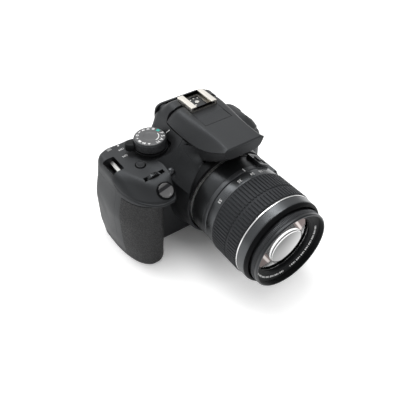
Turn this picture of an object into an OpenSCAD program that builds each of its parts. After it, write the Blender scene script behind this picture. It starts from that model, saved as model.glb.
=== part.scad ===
// Interchangeable-lens reflex camera with its standard zoom lens.
// The lens looks along -Y, the grip is on the -X side and the base is the plane z = 0.
// The origin is the mouth of the tripod socket, under the lens axis.

/* [Body] */
// Distance from the lens axis to the grip side
grip_side = 80.2; // [79.8:0.2:80.6]
// Distance from the lens axis to the far side
far_side = 52; // [51:0.5:54]
// Distance from the socket to the rear face
rear_depth = 32; // [31.5:0.5:33]
// Distance from the socket to the front wall
front_depth = 8; // [7.5:0.1:8.5]
// How far the grip stands out of the front wall
grip_depth = 18; // [16:0.5:19]
// Height of the finger ledge above the grip
ledge_z = 59.4; // [59:0.1:59.6]
// Height of the deck at the mode dial
deck_z = 74; // [73:0.5:75]
// Height of the flash hood's front edge
hood_z = 96.2; // [95.5:0.1:97]
// Wall thickness of the covers
wall = 2; // [1.8:0.1:2.2]

/* [Lens] */
// Height of the lens axis
axis_z = 41; // [40.5:0.1:41.5]
// Distance from the socket to the mount's face
flange = 28.4; // [28:0.1:29]
// Radius of the fixed barrel
barrel_r = 33; // [32.6:0.1:33.4]
// Number of ribs around the zoom grip
zoom_ribs = 84; // [60:4:96]
// Number of fine ribs around the focus ring
focus_ribs = 180; // [120:4:200]
// Radius of the filter thread's wall
filter_r = 28.75; // [28.6:0.05:28.9]

/* [Controls] */
// Radius of the mode dial
dial_r = 11.7; // [11:0.1:12]
// Radius of the shutter button
shutter_r = 5.2; // [4.8:0.1:5.4]
// Radius of the small round buttons
button_r = 3.4; // [3:0.1:3.6]
// Width between the walls of the accessory shoe
shoe_slot = 18.6; // [18.5:0.05:18.8]
// Gap between the lips of the accessory shoe
shoe_gap = 12.5; // [12:0.1:13]

/* [Hidden] */
$fn = 64;

// Colours
charcoal = [0.12, 0.12, 0.13];
rubber_black = [0.07, 0.07, 0.075];
gloss_black = [0.03, 0.03, 0.035];
steel = [0.7, 0.7, 0.72];
cream_steel = [0.85, 0.82, 0.76];
glass_tint = [0.6, 0.68, 0.75];
board_green = [0.1, 0.3, 0.2];

// Clearances
seam = 0.3;
run = 0.4;

// Body form: end and edge roundings
left_round = 6.5;
right_round = 12;
rim_round = 4;
base_round = 3.6;
side_lean = 4.9;
side_tuck = 1.7;
lobe_rim = 1.5;
split_y = 1;
seam_z = 61;
base_top = 3;
// Thumb rest: how far it stands out of the rear face, its ends in x, and the heights it rises between
thumb_rest = 3.4;
thumb_x = [-78, -66, -50, -37];
thumb_z = [44, 57];

// Grip and the lobe above its ledge, in plan
grip_inner_x = [-62.5, -57.5];
grip_inner_run = [11, 7];
lobe_inner_x = -49.5;
lobe_inner_run = 8.5;
lobe_depth = 22.5;
crease_y = -17.5;
lobe_drop = 8.4;

// Hood: half width of its flat top, and the seam under its flanks
hood_flat = 13.1;
hood_flare = 3.6;
hood_front = -42.4;
hood_skin = 1.8;
hinge = [0, 10.5, 92];
hood_back_r = 6.5;
tongue_half = 10.9;
tongue_front = -13.8;
hood_floor = 84.5;

// Places of the controls
dial_at = [-38.9, 14.1, deck_z + 0.4];
shutter_at = [-50.4, -23.5, 66];
shutter_tilt = 35;
main_dial_at = [-51.4, -10.7, 66.3];
main_dial_r = 6.4;
flash_button_at = [-53.6, 3.5, 71.5];
release_at = [39, -front_depth, 33];
lamp_at = [-36.5, -front_depth, 65.5];
screen_x = [-22, 40.8];
screen_rows = [8, 58];
keys_at = [-45, 33];
key_step = 9.4;
finder_z = 76;
diopter_at = [-16.2, rear_depth - 0.4, 88.2];
diopter_r = 4.6;
finder_back = 24.4;
screen_top = 62.8;
lug_tilt = 38;
lug_left = [-66.6, 14.2, 67.5];
lug_right = [46.5, 14.2, 68];
door_hinge = [-55, 3.5, 1.5];
sensor_y = 15.6;
mirror_hinge = [0, 6.4, 57.6];
shoe_y = [3.2, 21.2];
shoe_base = hood_top(shoe_y[0]);
shoe_high = 3.6;
switch_angles = [31, 67];

function clamp01(t) = min(1, max(0, t));
function smooth(a, b, x) = let (t = clamp01((x - a) / (b - a))) t * t * (3 - 2 * t);
function mix(a, b, t) = a + (b - a) * t;
// Sag of a quarter circle: 0 at t = 0 and 1 at t = 1
function quarter(t) = 1 - sqrt(max(0, 1 - pow(clamp01(t), 2)));
// Larger of two heights, with a blend of width k where they meet
function smax(a, b, k) = max(a, b) + pow(max(0, k - abs(a - b)), 2) / (4 * k);
// A hinge in a line: 0 before it and rising with slope 1 after it, rounded over k
function ramp(t, k) = t > k ? t : t < -k ? 0 : pow(t + k, 2) / (4 * k);

// Hood: height of its top, height and half width of the seam along its flanks
function hood_top(y) = hood_z + 0.04 * (y - hood_front) - 0.9 * ramp(y - 23, 2);
function hood_seam_z(y) = y > -15 ? 86 + 0.0022 * pow(y + 15, 2) : 86 + 9 * pow((-15 - y) / 27.4, 1.9);
function hood_half(y) = y > 8 ? 23.5 : mix(23.5, hood_flat + hood_flare, pow(clamp01((8 - y) / 50), 1.7));
// How full the hood's flanks are: rounder at the front than over the finder
function fullness(y) = mix(1.5, 2.4, smooth(-30, 10, y));
function hood_height(x, y) =
    let (top = hood_top(y), low = min(hood_seam_z(y), top - 2), half = hood_half(y), u = abs(x) - hood_flat)
    u <= 0 ? top
    : abs(x) < half ? top - (top - low) * pow(u / (half - hood_flat), fullness(y))
    : low - 2.6 * (abs(x) - half);

// Decks on either side of the hump; the left one falls in front of a curved crease
function lobe_fall(x, y) =
    let (crease = crease_y + 22 * pow(smooth(-50, -76, x), 2))
    lobe_drop * ramp(min(1, (crease - y) / max(5, crease + front_wall(x, 70))), 0.3);
function left_deck(x, y) =
    deck_z - 0.15 * ramp(-39 - x, 3) + 0.15 * ramp(-52 - x, 4) - 0.06 * ramp(14 - y, 3) - lobe_fall(x, y);
function right_deck(x, y) = 74.4 - 0.05 * (x - 27) - 0.45 * ramp(8 - y, 4);
function body_top(x, y) = smax(x < 0 ? left_deck(x, y) : right_deck(x, y), hood_height(x, y), 5);

// Front wall: a grip column under the ledge and a wider lobe above it
function swell(x, run, stand, inner_x, inner_run) = min(
    (front_depth + stand + 3.5) * pow(1 - pow(1 - clamp01((x + grip_side) / run), 1.85), 0.54) - 3.5,
    front_depth + stand * (1 - quarter((x - inner_x) / inner_run)));
function front_wall(x, z) =
    let (
        low = 1 - smooth(0, 32, z),
        inner_x = mix(grip_inner_x[1], grip_inner_x[0], low),
        inner_run = mix(grip_inner_run[1], grip_inner_run[0], low),
        column = swell(x, mix(15, 20, smooth(10, 54, z)), grip_depth, inner_x, inner_run),
        lobe = swell(x, 25, lobe_depth, lobe_inner_x, lobe_inner_run)
    )
    mix(column, lobe, smooth(ledge_z - 1.2, ledge_z + 0.6, z));

// Top of the body, or of its hollow: t lower, and t further in where a flank is steep
function top_inside(x, y, t) = t <= 0 ? body_top(x, y) - t
    : min(body_top(x, y), body_top(x - 1.3 * t, y), body_top(x + 1.3 * t, y)) - t;

// One upright slice of the body across its depth, as points (y, z), with the wall drawn in by t
function end_sag(x, t) =
    let (l = x + grip_side - t, r = far_side - t - x)
    l < left_round ? left_round * quarter(1 - l / left_round)
    : r < right_round ? right_round * quarter(1 - r / right_round) : 0;
function thumb_swell(x) =
    thumb_rest * smooth(thumb_x[0], thumb_x[1], x) * (1 - smooth(thumb_x[2], thumb_x[3], x));
function body_slice(x, t, steps) =
    let (
        sag = end_sag(x, t),
        low_back = rear_depth - t - sag,
        back = low_back + thumb_swell(x),
        top_front = -front_wall(x, t > 0 ? 50 : 70) + t + sag,
        rim = mix(lobe_rim, rim_round, smooth(-46, -41, x)),
        front_rim = top_inside(x, top_front, t) - sag - rim,
        back_rim = top_inside(x, back, t) - sag - rim_round,
        walls = [ledge_z + 0.9, ledge_z - 0.5, ledge_z - 1.9, 48, 35, 22, 12, base_round]
    )
    concat(
        [[-front_wall(x, 0) + t + sag + 3, t], [low_back - 2.4, t], [low_back - 0.7, t + 1]],
        [[low_back, t + base_round], [low_back, 26]],
        [for (z = [thumb_z[0], 48, 51, 54]) [mix(low_back, back, smooth(thumb_z[0], thumb_z[1], z)), z]],
        [for (a = [0:30:90]) [back - rim_round * (1 - cos(a)), back_rim + rim_round * sin(a)]],
        [for (i = [1:steps - 1]) let (y = mix(back - rim_round, top_front + rim, i / steps))
            [y, top_inside(x, y, t) - sag]],
        [for (a = [90:-30:0]) [top_front + rim * (1 - cos(a)), front_rim + rim * sin(a)]],
        [for (i = [0:len(walls) - 1]) let (z = min(walls[i], front_rim - 0.3 * (i + 1)))
            [-front_wall(x, t > 0 ? min(50, walls[i]) : walls[i]) + t + sag, max(t + 0.2 * (8 - i), z)]],
        [[-front_wall(x, 0) + t + sag + 0.9, t + 1]]
    );
// The grip side leans in towards the deck and tucks in at the base
function leaned(x, z) =
    x + (side_lean * smooth(38, 68, z) + side_tuck * (1 - smooth(0, 18, z))) * clamp01((-40 - x) / 39);

// A closed skin through rings of equal length, its ends closed by strips across the ring
module loft(rings) {
    n = len(rings[0]);
    m = len(rings);
    last = (m - 1) * n;
    strip = concat(
        [for (i = [0:n / 2 - 2]) [i, i + 1, n - 1 - i]],
        [for (i = [1:n / 2 - 1]) [i, n - 1 - i, n - i]]
    );
    polyhedron(
        points = [for (ring = rings) each ring],
        faces = concat(
            strip, [for (f = strip) [last + f[2], last + f[1], last + f[0]]],
            [for (i = [0:m - 2]) for (j = [0:n - 1]) let (k = (j + 1) % n)
                each [[i * n + j, (i + 1) * n + j, i * n + k],
                    [i * n + k, (i + 1) * n + j, (i + 1) * n + k]]]
        )
    );
}

// Places of the slices: close together where the grip, the lobe and the hump turn
slice_x = [
    for (d = [0, 0.4, 1.7, 4, 7.5, 11.5]) d - grip_side, -63, -57, -54.4, -52.6, -51.4, -50.4, -49,
    -46.5, -44,
    -42.2, -41, -38, -34, -30, -27.5, -25.5, -23.5, -20, -16.5, -13.1, -6, 6, 13.1, 16.5, 20, 23.5, 25.5,
    27.5, 30, 36, 42, 46, 49, far_side - 1.3, far_side - 0.3, far_side,
];
hollow_x = [-grip_side, 2 - grip_side, 6.5 - grip_side, -66, -60, -55, -52, -49.5, -45, -41.5, -34, -27,
    -23.5, -13.1, 13.1, 23.5, 27, 38, 44, far_side - 3.5, far_side - 0.8, far_side];

module body_form() {
    loft([for (x = slice_x) [for (p = body_slice(x, 0, 9)) [leaned(x, p[1]), p[0], p[1]]]]);
}

module body_hollow() {
    fit = (far_side + grip_side - 2 * wall) / (far_side + grip_side);
    loft([for (s = hollow_x) let (x = (s + grip_side) * fit - grip_side + wall)
        [for (p = body_slice(x, wall, 5)) [leaned(x, p[1]), p[0], p[1]]]]);
}

// Skin of even thickness laid over the grip end of the body form
module grip_skin(thick) {
    grow = (far_side + grip_side + 2 * thick) / (far_side + grip_side);
    difference() {
        loft([for (s = slice_x) if (s < -44) let (x = (s + grip_side) * grow - grip_side - thick)
            [for (p = body_slice(x, -thick, 3)) [leaned(x, p[1]), p[0], p[1]]]]);
        loft([for (x = slice_x) if (x < -43) [for (p = body_slice(x, 0, 3)) [leaned(x, p[1]), p[0], p[1]]]]);
    }
}

// Places the axis of the lens along local +Z, measured forward from the socket
module on_axis(forward = 0) {
    translate([0, -forward, axis_z]) rotate([90, 0, 0]) children();
}

module ring(r_out, r_in, h) {
    difference() {
        cylinder(r = r_out, h = h, $fn = 96);
        translate([0, 0, -1]) cylinder(r = r_in, h = h + 2, $fn = 96);
    }
}

// Sector of a ring, centred on the +X direction
module sector(r_out, r_in, h, angle) {
    rotate([0, 0, -angle / 2]) rotate_extrude(angle = angle, $fn = 96)
        translate([r_in, 0]) square([r_out - r_in, h]);
}

// Outline of a round piece with ribs
module ribbed_disc(r_top, r_root, count) {
    step = 360 / count;
    tooth = [[-0.30, r_root], [-0.20, r_top], [0.20, r_top], [0.30, r_root]];
    polygon([for (i = [0:count - 1]) for (k = tooth)
        k[1] * [cos((i + k[0]) * step), sin((i + k[0]) * step)]]);
}

// Hole with a softened mouth, opening towards local +Z at z = 0
module well(r, deep) {
    translate([0, 0, -deep]) cylinder(r = r, h = deep + 4, $fn = 28);
    hull() {
        translate([0, 0, -0.5]) cylinder(r = r, h = 0.1, $fn = 28);
        translate([0, 0, 0.5]) cylinder(r = r + 1, h = 0.1, $fn = 28);
    }
}

// Rounded box between two corners, its edges along Y rounded
module plate(low, high, r) {
    hull() for (x = [low[0] + r, high[0] - r], z = [low[2] + r, high[2] - r])
        translate([x, high[1], z]) rotate([90, 0, 0]) cylinder(r = r, h = high[1] - low[1], $fn = 32);
}

// Turns local +Z to face the rear
module to_rear(x, z, y = rear_depth) {
    translate([x, y, z]) rotate([-90, 0, 0]) children();
}

// Nose: the trough under the hood that carries the bare front plate above the mount
function nose_low(y) =
    y > -28 ? mix(76.5, 60, clamp01((y + 28) / 20)) : mix(76.5, 87, pow((-28 - y) / 14.4, 1.25));
module nose(t, lift) {
    places = [-6, -14, -20, -26, -31, -36, -40, hood_front + 0.2 + t];
    loft([for (y = places) let (half = hood_half(y) - t, top = hood_seam_z(y) + lift, low = nose_low(y) + t)
        [[-half, y, top], [-half + 0.6, y, mix(low, top, 0.35)], [-half + 3, y, low], [half - 3, y, low],
            [half - 0.6, y, mix(low, top, 0.35)], [half, y, top]]]);
}

// Round boss that carries the mount, blending back to the front wall
module boss(t) {
    hull() {
        on_axis(flange - 1.2 - (t > 0 ? -3 : 0.4)) cylinder(r = barrel_r + 2.8 - t, h = 0.4, $fn = 64);
        on_axis(front_depth - 4) cylinder(r = barrel_r + 5.6 - t, h = 0.4, $fn = 64);
        for (s = [-1, 1]) translate([s * 24, -front_depth + 4, 7]) rotate([90, 0, 0])
            cylinder(r = 7 - t, h = 8 - t, $fn = 32);
    }
}

// Space taken by the hood, with its running gap
module hood_space(gap) {
    difference() {
        union() {
            linear_extrude(height = 120) polygon(concat(
                [for (y = [hinge[1] + 4.6:-4:-10]) [hood_half(y) + gap, y]],
                [for (y = [-9.5:4:hinge[1] + 4.6]) [-hood_half(y) - gap, y]]
            ));
            translate([-23.5 - 0.9 * gap, hinge[1], hinge[2]]) rotate([0, 90, 0])
                cylinder(r = hood_back_r + gap, h = 47 + 1.8 * gap, $fn = 48);
        }
        translate([-60, -60, 0]) cube([120, 120, hood_floor]);
        translate([-tongue_half - seam + gap, tongue_front - seam + gap, 0])
            cube([2 * (tongue_half + seam - gap), 60, 130]);
    }
}

// Pockets of the strap bars, grown by t for the walls round them
module strap_pockets(t) {
    for (at = [lug_left, lug_right]) translate(at) rotate([0, at[0] < 0 ? -lug_tilt : lug_tilt, 0])
        translate([-4.2 - t, -7.6 - t, -4.2 - t]) cube([8.4 + 2 * t, 15.2 + 2 * t, 14 + t]);
}

// Two ears under the deck that carry the control wheel's axle
module dial_ears() {
    for (y = [-3.4, 1.8]) translate([main_dial_at[0] - 3, main_dial_at[1] + y, seam_z + 0.1])
        cube([6, 1.6, 12]);
}

// Everything that the covers leave open for the controls and the mount
module openings() {
    translate(dial_at) well(dial_r + 1.6, 0.4);
    translate(dial_at) well(4.6, 12);
    translate(dial_at) rotate([0, 0, 155]) sector(18.8, 4, 8, 74);
    translate(shutter_at) rotate([shutter_tilt, 0, 0]) {
        well(shutter_r + run, 2.3);
        translate([0, 0, -5]) cylinder(r = 2.4, h = 4, $fn = 28);
    }
    translate(flash_button_at) well(3.6, 12);
    translate(main_dial_at + [0, 1.8, 0]) rotate([90, 0, 0]) cylinder(r = main_dial_r + 0.3, h = 3.6);
    translate(main_dial_at + [-7.75, -1.8, 1.5]) cube([15.5, 3.6, 10]);
    translate(main_dial_at + [0, 3.5, 0]) rotate([90, 0, 0]) cylinder(r = 1.5, h = 7, $fn = 24);
    strap_pockets(0);
    translate(release_at) rotate([90, 0, 0]) well(5.4, 12);
    translate(lamp_at + [0, 1.5, 0]) rotate([90, 0, 0]) well(2.7, 6);
    on_axis(0) cylinder(r = 33.5, h = 60, $fn = 64);
    for (k = rear_buttons) to_rear(k[1], k[2], rear_at(k)) well(k[3] + run, 9);
    screen_window(seam, 24, 40);
    plate([-10, 20, finder_z - 6.5], [10, 40, finder_z + 6.5], 2);
    translate(diopter_at + [0, 1, 0]) rotate([90, 0, 0]) cylinder(r = diopter_r + run, h = 6);
    translate(diopter_at) rotate([90, 0, 0]) cylinder(r = 1.5, h = 8, $fn = 24);
    translate([-72.4, -13.9, -3]) cube([20.6, 34.8, 7]);
    translate(door_hinge - [0, 19, 0]) rotate([-90, 0, 0]) cylinder(r = 1.1, h = 38, $fn = 24);
    translate([-17.2, -21.5, 60.5]) cube([34.4, 46, hood_floor - 1.7 - 60.5]);
    translate([0, 0, -1]) cylinder(r = 6.2, h = 8, $fn = 48);
    for (p = base_screws) translate([p[0], p[1], 0]) rotate([180, 0, 0]) well(1.9, 1.2);
    translate([far_side - 1.7, 2, 18]) cube([6, 20, 36]);
    translate([far_side - 6, 4, 20]) cube([6, 16, 32]);
    translate([-shoe_slot / 2 - 1.7, shoe_y[0] - seam, shoe_base]) cube([shoe_slot + 3.4, 40, 10]);
    hood_space(seam);
}

base_screws = [[-40, 22], [-24, -3], [40, 22], [34, -1]];
// Name, x, z, radius
rear_buttons = [
    ["key_up", keys_at[0], keys_at[1] + key_step, 3.2],
    ["key_down", keys_at[0], keys_at[1] - key_step, 3.2],
    ["key_left", keys_at[0] + key_step, keys_at[1], 3.2],
    ["key_right", keys_at[0] - key_step, keys_at[1], 3.2],
    ["set_button", keys_at[0], keys_at[1], 4],
    ["playback_button", -36, 12, button_r],
    ["menu_button", -54, 12, button_r],
    ["exposure_button", -31, 52, button_r],
    ["live_view_button", -33, 65, button_r],
    ["lock_button", -55, 62, button_r],
    ["af_point_button", -65, 61, button_r],
];

// Rear face behind a button: the two upper ones stand on the thumb rest
function rear_at(k) = rear_depth + (k[2] > 60 ? thumb_swell(k[1]) : 0);

// Hollow shell of the whole body with every opening cut
module shell() {
    difference() {
        union() {
            body_form();
            boss(0);
            nose(0, -0.3);
            translate([-tongue_half, tongue_front, hood_top(tongue_front) - 3.4])
                cube([2 * tongue_half, 20, 3.4]);
        }
        difference() {
            union() {
                body_hollow();
                boss(wall);
                nose(wall, 6);
            }
            translate([-tongue_half, 3, hood_floor + 2]) cube([2 * tongue_half, 21, 20]);
            translate([-tongue_half, tongue_front, hood_top(tongue_front) - 3.4])
                cube([2 * tongue_half, 22, 20]);
            hood_floor_plate();
            intersection() {
                strap_pockets(1.2);
                translate([-100, 0, seam_z]) cube([200, 30, 30]);
            }
            dial_ears();
        }
        openings();
        hinge_bore();
    }
}

// Floor under the hood, above the finder
module hood_floor_plate() {
    translate([-26, -7, hood_floor - wall]) cube([52, 27, wall]);
}

module hinge_bore() {
    translate([-30, hinge[1], hinge[2]]) rotate([0, 90, 0]) cylinder(r = 1.3, h = 60, $fn = 32);
}

module front_cover() {
    color(charcoal) intersection() {
        shell();
        union() {
            translate([-150, -150, base_top + 0.05]) cube([300, 150 + split_y, seam_z - base_top - 0.1]);
            translate([-35, -60, seam_z - 1]) cube([70, 60 - front_depth - 0.05, 60]);
        }
        difference() {
            translate([-150, -150, 0]) cube([300, 300, 200]);
            translate([-tongue_half - 1, tongue_front - 1, 91]) cube([2 * tongue_half + 2, 30, 20]);
        }
    }
}

module rear_cover() {
    color(charcoal) intersection() {
        shell();
        translate([-150, split_y + 0.1, base_top + 0.05]) cube([300, 150, seam_z - base_top - 0.1]);
    }
}

module top_cover() {
    color(charcoal) intersection() {
        shell();
        union() {
            translate([-150, -front_depth, seam_z + 0.05]) cube([300, 150, 60]);
            translate([-150, -60, seam_z + 0.05]) cube([150 - 35.1, 150, 60]);
            translate([-tongue_half, tongue_front, 91.5]) cube([2 * tongue_half, 30, 20]);
        }
    }
}

module bottom_cover() {
    color(charcoal) intersection() {
        shell();
        translate([-150, -150, -1]) cube([300, 300, base_top + 1 - 0.05]);
    }
}

// Pebbled grip skin in front with its raised upper border, and the thumb pad behind it
module rubber_grips() {
    rim_z = ledge_z - 2.2;
    rim_x = [-74, -71, -68, -65, -62, -59, -57, -55, -53.5, -52.2, -51.2];
    color(rubber_black) {
        intersection() {
            grip_skin(0.6);
            union() {
                translate([-90, -60, 4]) cube([41.2, 54.4, ledge_z - 5.4]);
                translate([-75, 20, 22]) cube([15.8, 30, 32]);
            }
        }
        difference() {
            for (i = [0:len(rim_x) - 2]) hull() for (x = [rim_x[i], rim_x[i + 1]])
                translate([leaned(x, rim_z), end_sag(x, 0) - front_wall(x, rim_z) - 0.2, rim_z])
                    sphere(r = 0.8, $fn = 12);
            body_form();
        }
    }
}

// Screw heads of the base and of the mount ring
module screws() {
    color(steel) {
        for (p = base_screws) translate([p[0], p[1], 0.5]) difference() {
            cylinder(r = 1.6, h = 0.7, $fn = 32);
            translate([0, 0, -1]) cylinder(r = 0.6, h = 1.4, $fn = 6);
        }
        on_axis(flange - 1.1) for (a = [45:90:315]) rotate([0, 0, a]) translate([29.8, 0, 0]) difference() {
            cylinder(r = 1.5, h = 1, $fn = 32);
            translate([0, 0, 0.6]) cylinder(r = 0.5, h = 1, $fn = 6);
        }
    }
}

// Threaded bush of the tripod socket, standing on the chassis floor
module tripod_bush() {
    color(steel) difference() {
        union() {
            cylinder(r = 6, h = 3);
            translate([0, 0, 3]) cylinder(r = 5, h = 4.5);
        }
        translate([0, 0, -1]) cylinder(r = 2.6, h = 6.5);
    }
}

// Light-tight box behind the mount
module mirror_box() {
    box_w = 18;
    box_low = 21.5;
    box_high = 60;
    color(gloss_black) difference() {
        union() {
            on_axis(flange - 5) ring(33.2, 28, 2.9);
            translate([-box_w - 1.6, -flange + 5, box_low - 1.6])
                cube([2 * box_w + 3.2, flange + 4.6, box_high - box_low + 3.2]);
        }
        translate([-box_w, -flange + 3, box_low]) cube([2 * box_w, flange + 8, box_high - box_low]);
        translate([-14.5, -20.5, box_high - 1]) cube([29, 25, 5]);
    }
}

// Steel mount ring with three lugs that hold the lens
module mount_flange() {
    color(steel) on_axis(flange - 2) {
        difference() {
            ring(32.4, 27.6, 2);
            for (a = [45:90:315]) rotate([0, 0, a]) translate([29.8, 0, 0.9]) cylinder(r = 1.6, h = 2);
        }
        for (a = [0:120:240]) rotate([0, 0, a + 90]) sector(27.8, 25.6, 1.4, 58);
    }
}

module lens_release_button() {
    color(gloss_black) translate(release_at) rotate([90, 0, 0]) {
        translate([0, 0, -7]) cylinder(r = 3, h = 7);
        translate([0, 0, -3]) cylinder(r = 5, h = 5.2);
    }
}

// Mirror that swings up about its rear edge
module reflex_mirror() {
    color(glass_tint) translate(mirror_hinge) rotate([-135, 0, 0]) {
        translate([-13, 0, -0.6]) cube([26, 26, 1.2]);
        translate([-15, 0, 0]) rotate([0, 90, 0]) cylinder(r = 0.9, h = 30);
    }
}

module focusing_screen() {
    color(glass_tint) translate([-15.5, -20.4, screen_top - 1.2]) cube([31, 25, 1.2]);
}

// Roof of mirrors that turns the finder's view upright
module pentamirror() {
    color(gloss_black) translate([-16, 0, 0]) rotate([90, 0, 90]) linear_extrude(height = 32)
        polygon([[-20.5, screen_top], [5, screen_top], [finder_back, 68], [finder_back, 81.4],
            [6, 82], [-12, 81], [-20.5, 71]]);
}

module eyepiece_lens() {
    color(glass_tint) translate([0, finder_back, finder_z]) rotate([-90, 0, 0]) intersection() {
        cylinder(r = 8.4, h = 5);
        translate([0, 0, -15]) sphere(r = 19.8);
    }
}

// Soft cup around the finder's window
module eyecup() {
    color(rubber_black) difference() {
        hull() {
            plate([-23.7, rear_depth + 0.05, 63.5], [23.7, rear_depth + 1.4, 93.2], 8);
            plate([-22, rear_depth + 1.4, 65], [22, rear_depth + 4.8, 91.6], 8);
        }
        plate([-10.5, 20, finder_z - 6.8], [10.5, 50, finder_z + 6.8], 3);
    }
}

// Ribbed wheel beside the finder, standing a little out of the hump's flank
module diopter_knob() {
    color(rubber_black) translate(diopter_at) rotate([90, 0, 0]) {
        linear_extrude(height = 4) ribbed_disc(diopter_r, diopter_r - 0.35, 28);
        translate([0, 0, -0.2]) cylinder(r = 1.2, h = 7);
    }
}

// Shutter: a frame with its window, and the curtain behind it
module shutter_frame() {
    color(gloss_black) difference() {
        translate([-24, 9.6, 15]) cube([48, 2.8, 46.6]);
        translate([-12.4, 0, axis_z - 8.3]) cube([24.8, 20, 16.6]);
    }
}

module shutter_blades() {
    color(steel) for (i = [0:3])
        translate([-14, 12.8, axis_z - 9.2 + i * 4.6]) cube([28, 0.7, 4.6]);
}

module image_sensor() {
    color(glass_tint) {
        translate([-13.4, sensor_y, axis_z - 9.6]) cube([26.8, 1.4, 19.2]);
        translate([-17, sensor_y + 1.4, axis_z - 13]) cube([34, 1.2, 26]);
        for (x = [-15.6, 15.6], z = [-11.4, 11.4]) translate([x, sensor_y + 1.5, axis_z + z])
            rotate([90, 0, 0]) cylinder(r = 1, h = sensor_y + 1.5 - 12.4);
    }
}

module main_board() {
    color(board_green) {
        translate([-40, 20, 6]) cube([84, 1.4, 52]);
        for (x = [-15.6, 15.6], z = [-11.4, 11.4]) translate([x, 20.1, axis_z + z])
            rotate([90, 0, 0]) cylinder(r = 1.4, h = 20.1 - sensor_y - 2.6);
        translate([-8, 21.4, 26]) cube([15, 1.2, 15]);
        translate([14, 21.4, 30]) cube([11, 1.1, 12]);
        difference() {
            translate([43.9, 4.3, 19]) cube([4, 17.1, 34]);
            for (z = [22, 32.5, 43]) translate([45.5, 7, z]) cube([4, 9, 7]);
        }
    }
}

// Mode dial: knurled skirt, flat top with a shallow dish, shaft
module mode_dial() {
    color(charcoal) translate(dial_at) difference() {
        union() {
            translate([0, 0, 2.3]) linear_extrude(height = 6.2) ribbed_disc(dial_r, dial_r - 0.35, 72);
            translate([0, 0, 8.5]) cylinder(r1 = dial_r - 0.2, r2 = dial_r - 0.9, h = 0.8);
            translate([0, 0, -8]) cylinder(r = 3.4, h = 11);
        }
        translate([0, 0, 8.9]) cylinder(r = 4.6, h = 1);
    }
}

// Power lever: a ring under the mode dial with a thumb tab
module power_switch() {
    color(gloss_black) translate(dial_at) difference() {
        union() {
            translate([0, 0, 0.5]) cylinder(r = dial_r + 1, h = 1.4);
            rotate([0, 0, 155]) hull() {
                translate([11, -4, 0.5]) cube([2, 8, 1.4]);
                translate([14.6, 0, 0.5]) cylinder(r = 3.4, h = 4.4, $fn = 32);
            }
        }
        translate([0, 0, -1]) cylinder(r = 3.8, h = 5);
        translate([0, 0, 1.9]) cylinder(r = dial_r + 0.4, h = 6);
    }
}

// Ribbed control wheel standing a little out of the deck
module main_dial() {
    color(rubber_black) translate(main_dial_at + [0, 1.5, 0]) rotate([90, 0, 0]) {
        linear_extrude(height = 3) ribbed_disc(main_dial_r, main_dial_r - 0.45, 28);
        translate([0, 0, -1.8]) cylinder(r = 1.1, h = 6.6);
    }
}

// Shutter release with a dished face
module shutter_button() {
    color(gloss_black) translate(shutter_at) rotate([shutter_tilt, 0, 0]) difference() {
        union() {
            translate([0, 0, -0.8]) cylinder(r = shutter_r, h = 2.4);
            translate([0, 0, -3.8]) cylinder(r = 2, h = 4);
        }
        translate([0, 0, 14.1]) sphere(r = 13.2);
    }
}

module flash_button() {
    color(charcoal) translate(flash_button_at) {
        translate([0, 0, -2.4]) cylinder(r = 3.2, h = 3.2);
        translate([0, 0, -6]) cylinder(r = 1.6, h = 4);
    }
}

// Solid under the hood's outer face, drawn in by t, from its front edge back to a round end
function hood_ring(y, t, drop) =
    let (
        half = hood_half(y) - t,
        flat = hood_flat - t * 0.6,
        back_r = hood_back_r - t,
        fall = y <= hinge[1] ? 0 : back_r - sqrt(max(0.01, pow(back_r, 2) - pow(y - hinge[1], 2))),
        top = hood_top(y) - t - fall,
        low = min(hood_seam_z(y), top - 0.6) - drop,
        bend = [0.18, 0.4, 0.62, 0.82, 1]
    )
    concat(
        [for (i = [4:-1:0]) [-mix(flat, half, bend[i]), y, top - (top - low) * pow(bend[i], fullness(y))]],
        [[-flat, y, top], [flat, y, top]],
        [for (b = bend) [mix(flat, half, b), y, top - (top - low) * pow(b, fullness(y))]]
    );

// Flash hood: a U-shaped skin round the tongue, with two arms to the hinge
module flash_head() {
    rows = [-41, -39, -36, -31, -25, -18, -10, -2, 6, hinge[1], 12.6, 14.4];
    color(charcoal) {
        difference() {
            loft([for (y = concat([hood_front], rows, [16])) hood_ring(y, 0, 0)]);
            loft([for (y = concat([hood_front + hood_skin], [for (i = [1:len(rows) - 1]) rows[i]]))
                hood_ring(y, hood_skin, 3)]);
            translate([-tongue_half - seam, tongue_front - seam, 80])
                cube([2 * (tongue_half + seam), 60, 40]);
        }
        for (s = [-1, 1]) translate([s * 13.2 - 1.4, hinge[1], hinge[2]]) difference() {
            union() {
                rotate([0, 90, 0]) cylinder(r = 2.6, h = 2.8);
                translate([0, -2.6, 0]) cube([2.8, 5.2, 5]);
            }
            translate([-1, 0, 0]) rotate([0, 90, 0]) cylinder(r = 1.25, h = 6);
        }
    }
}

// Lamp under the hood's front, turned forward when the hood is up
module flash_lamp() {
    color(glass_tint) translate([-11, -37.5, 91]) rotate([22, 0, 0]) translate([0, 0, -4.2])
        cube([22, 9, 4.2]);
}

module flash_hinge_pin() {
    color(steel) translate([-15, hinge[1], hinge[2]]) rotate([0, 90, 0]) cylinder(r = 1.2, h = 30);
}

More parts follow.
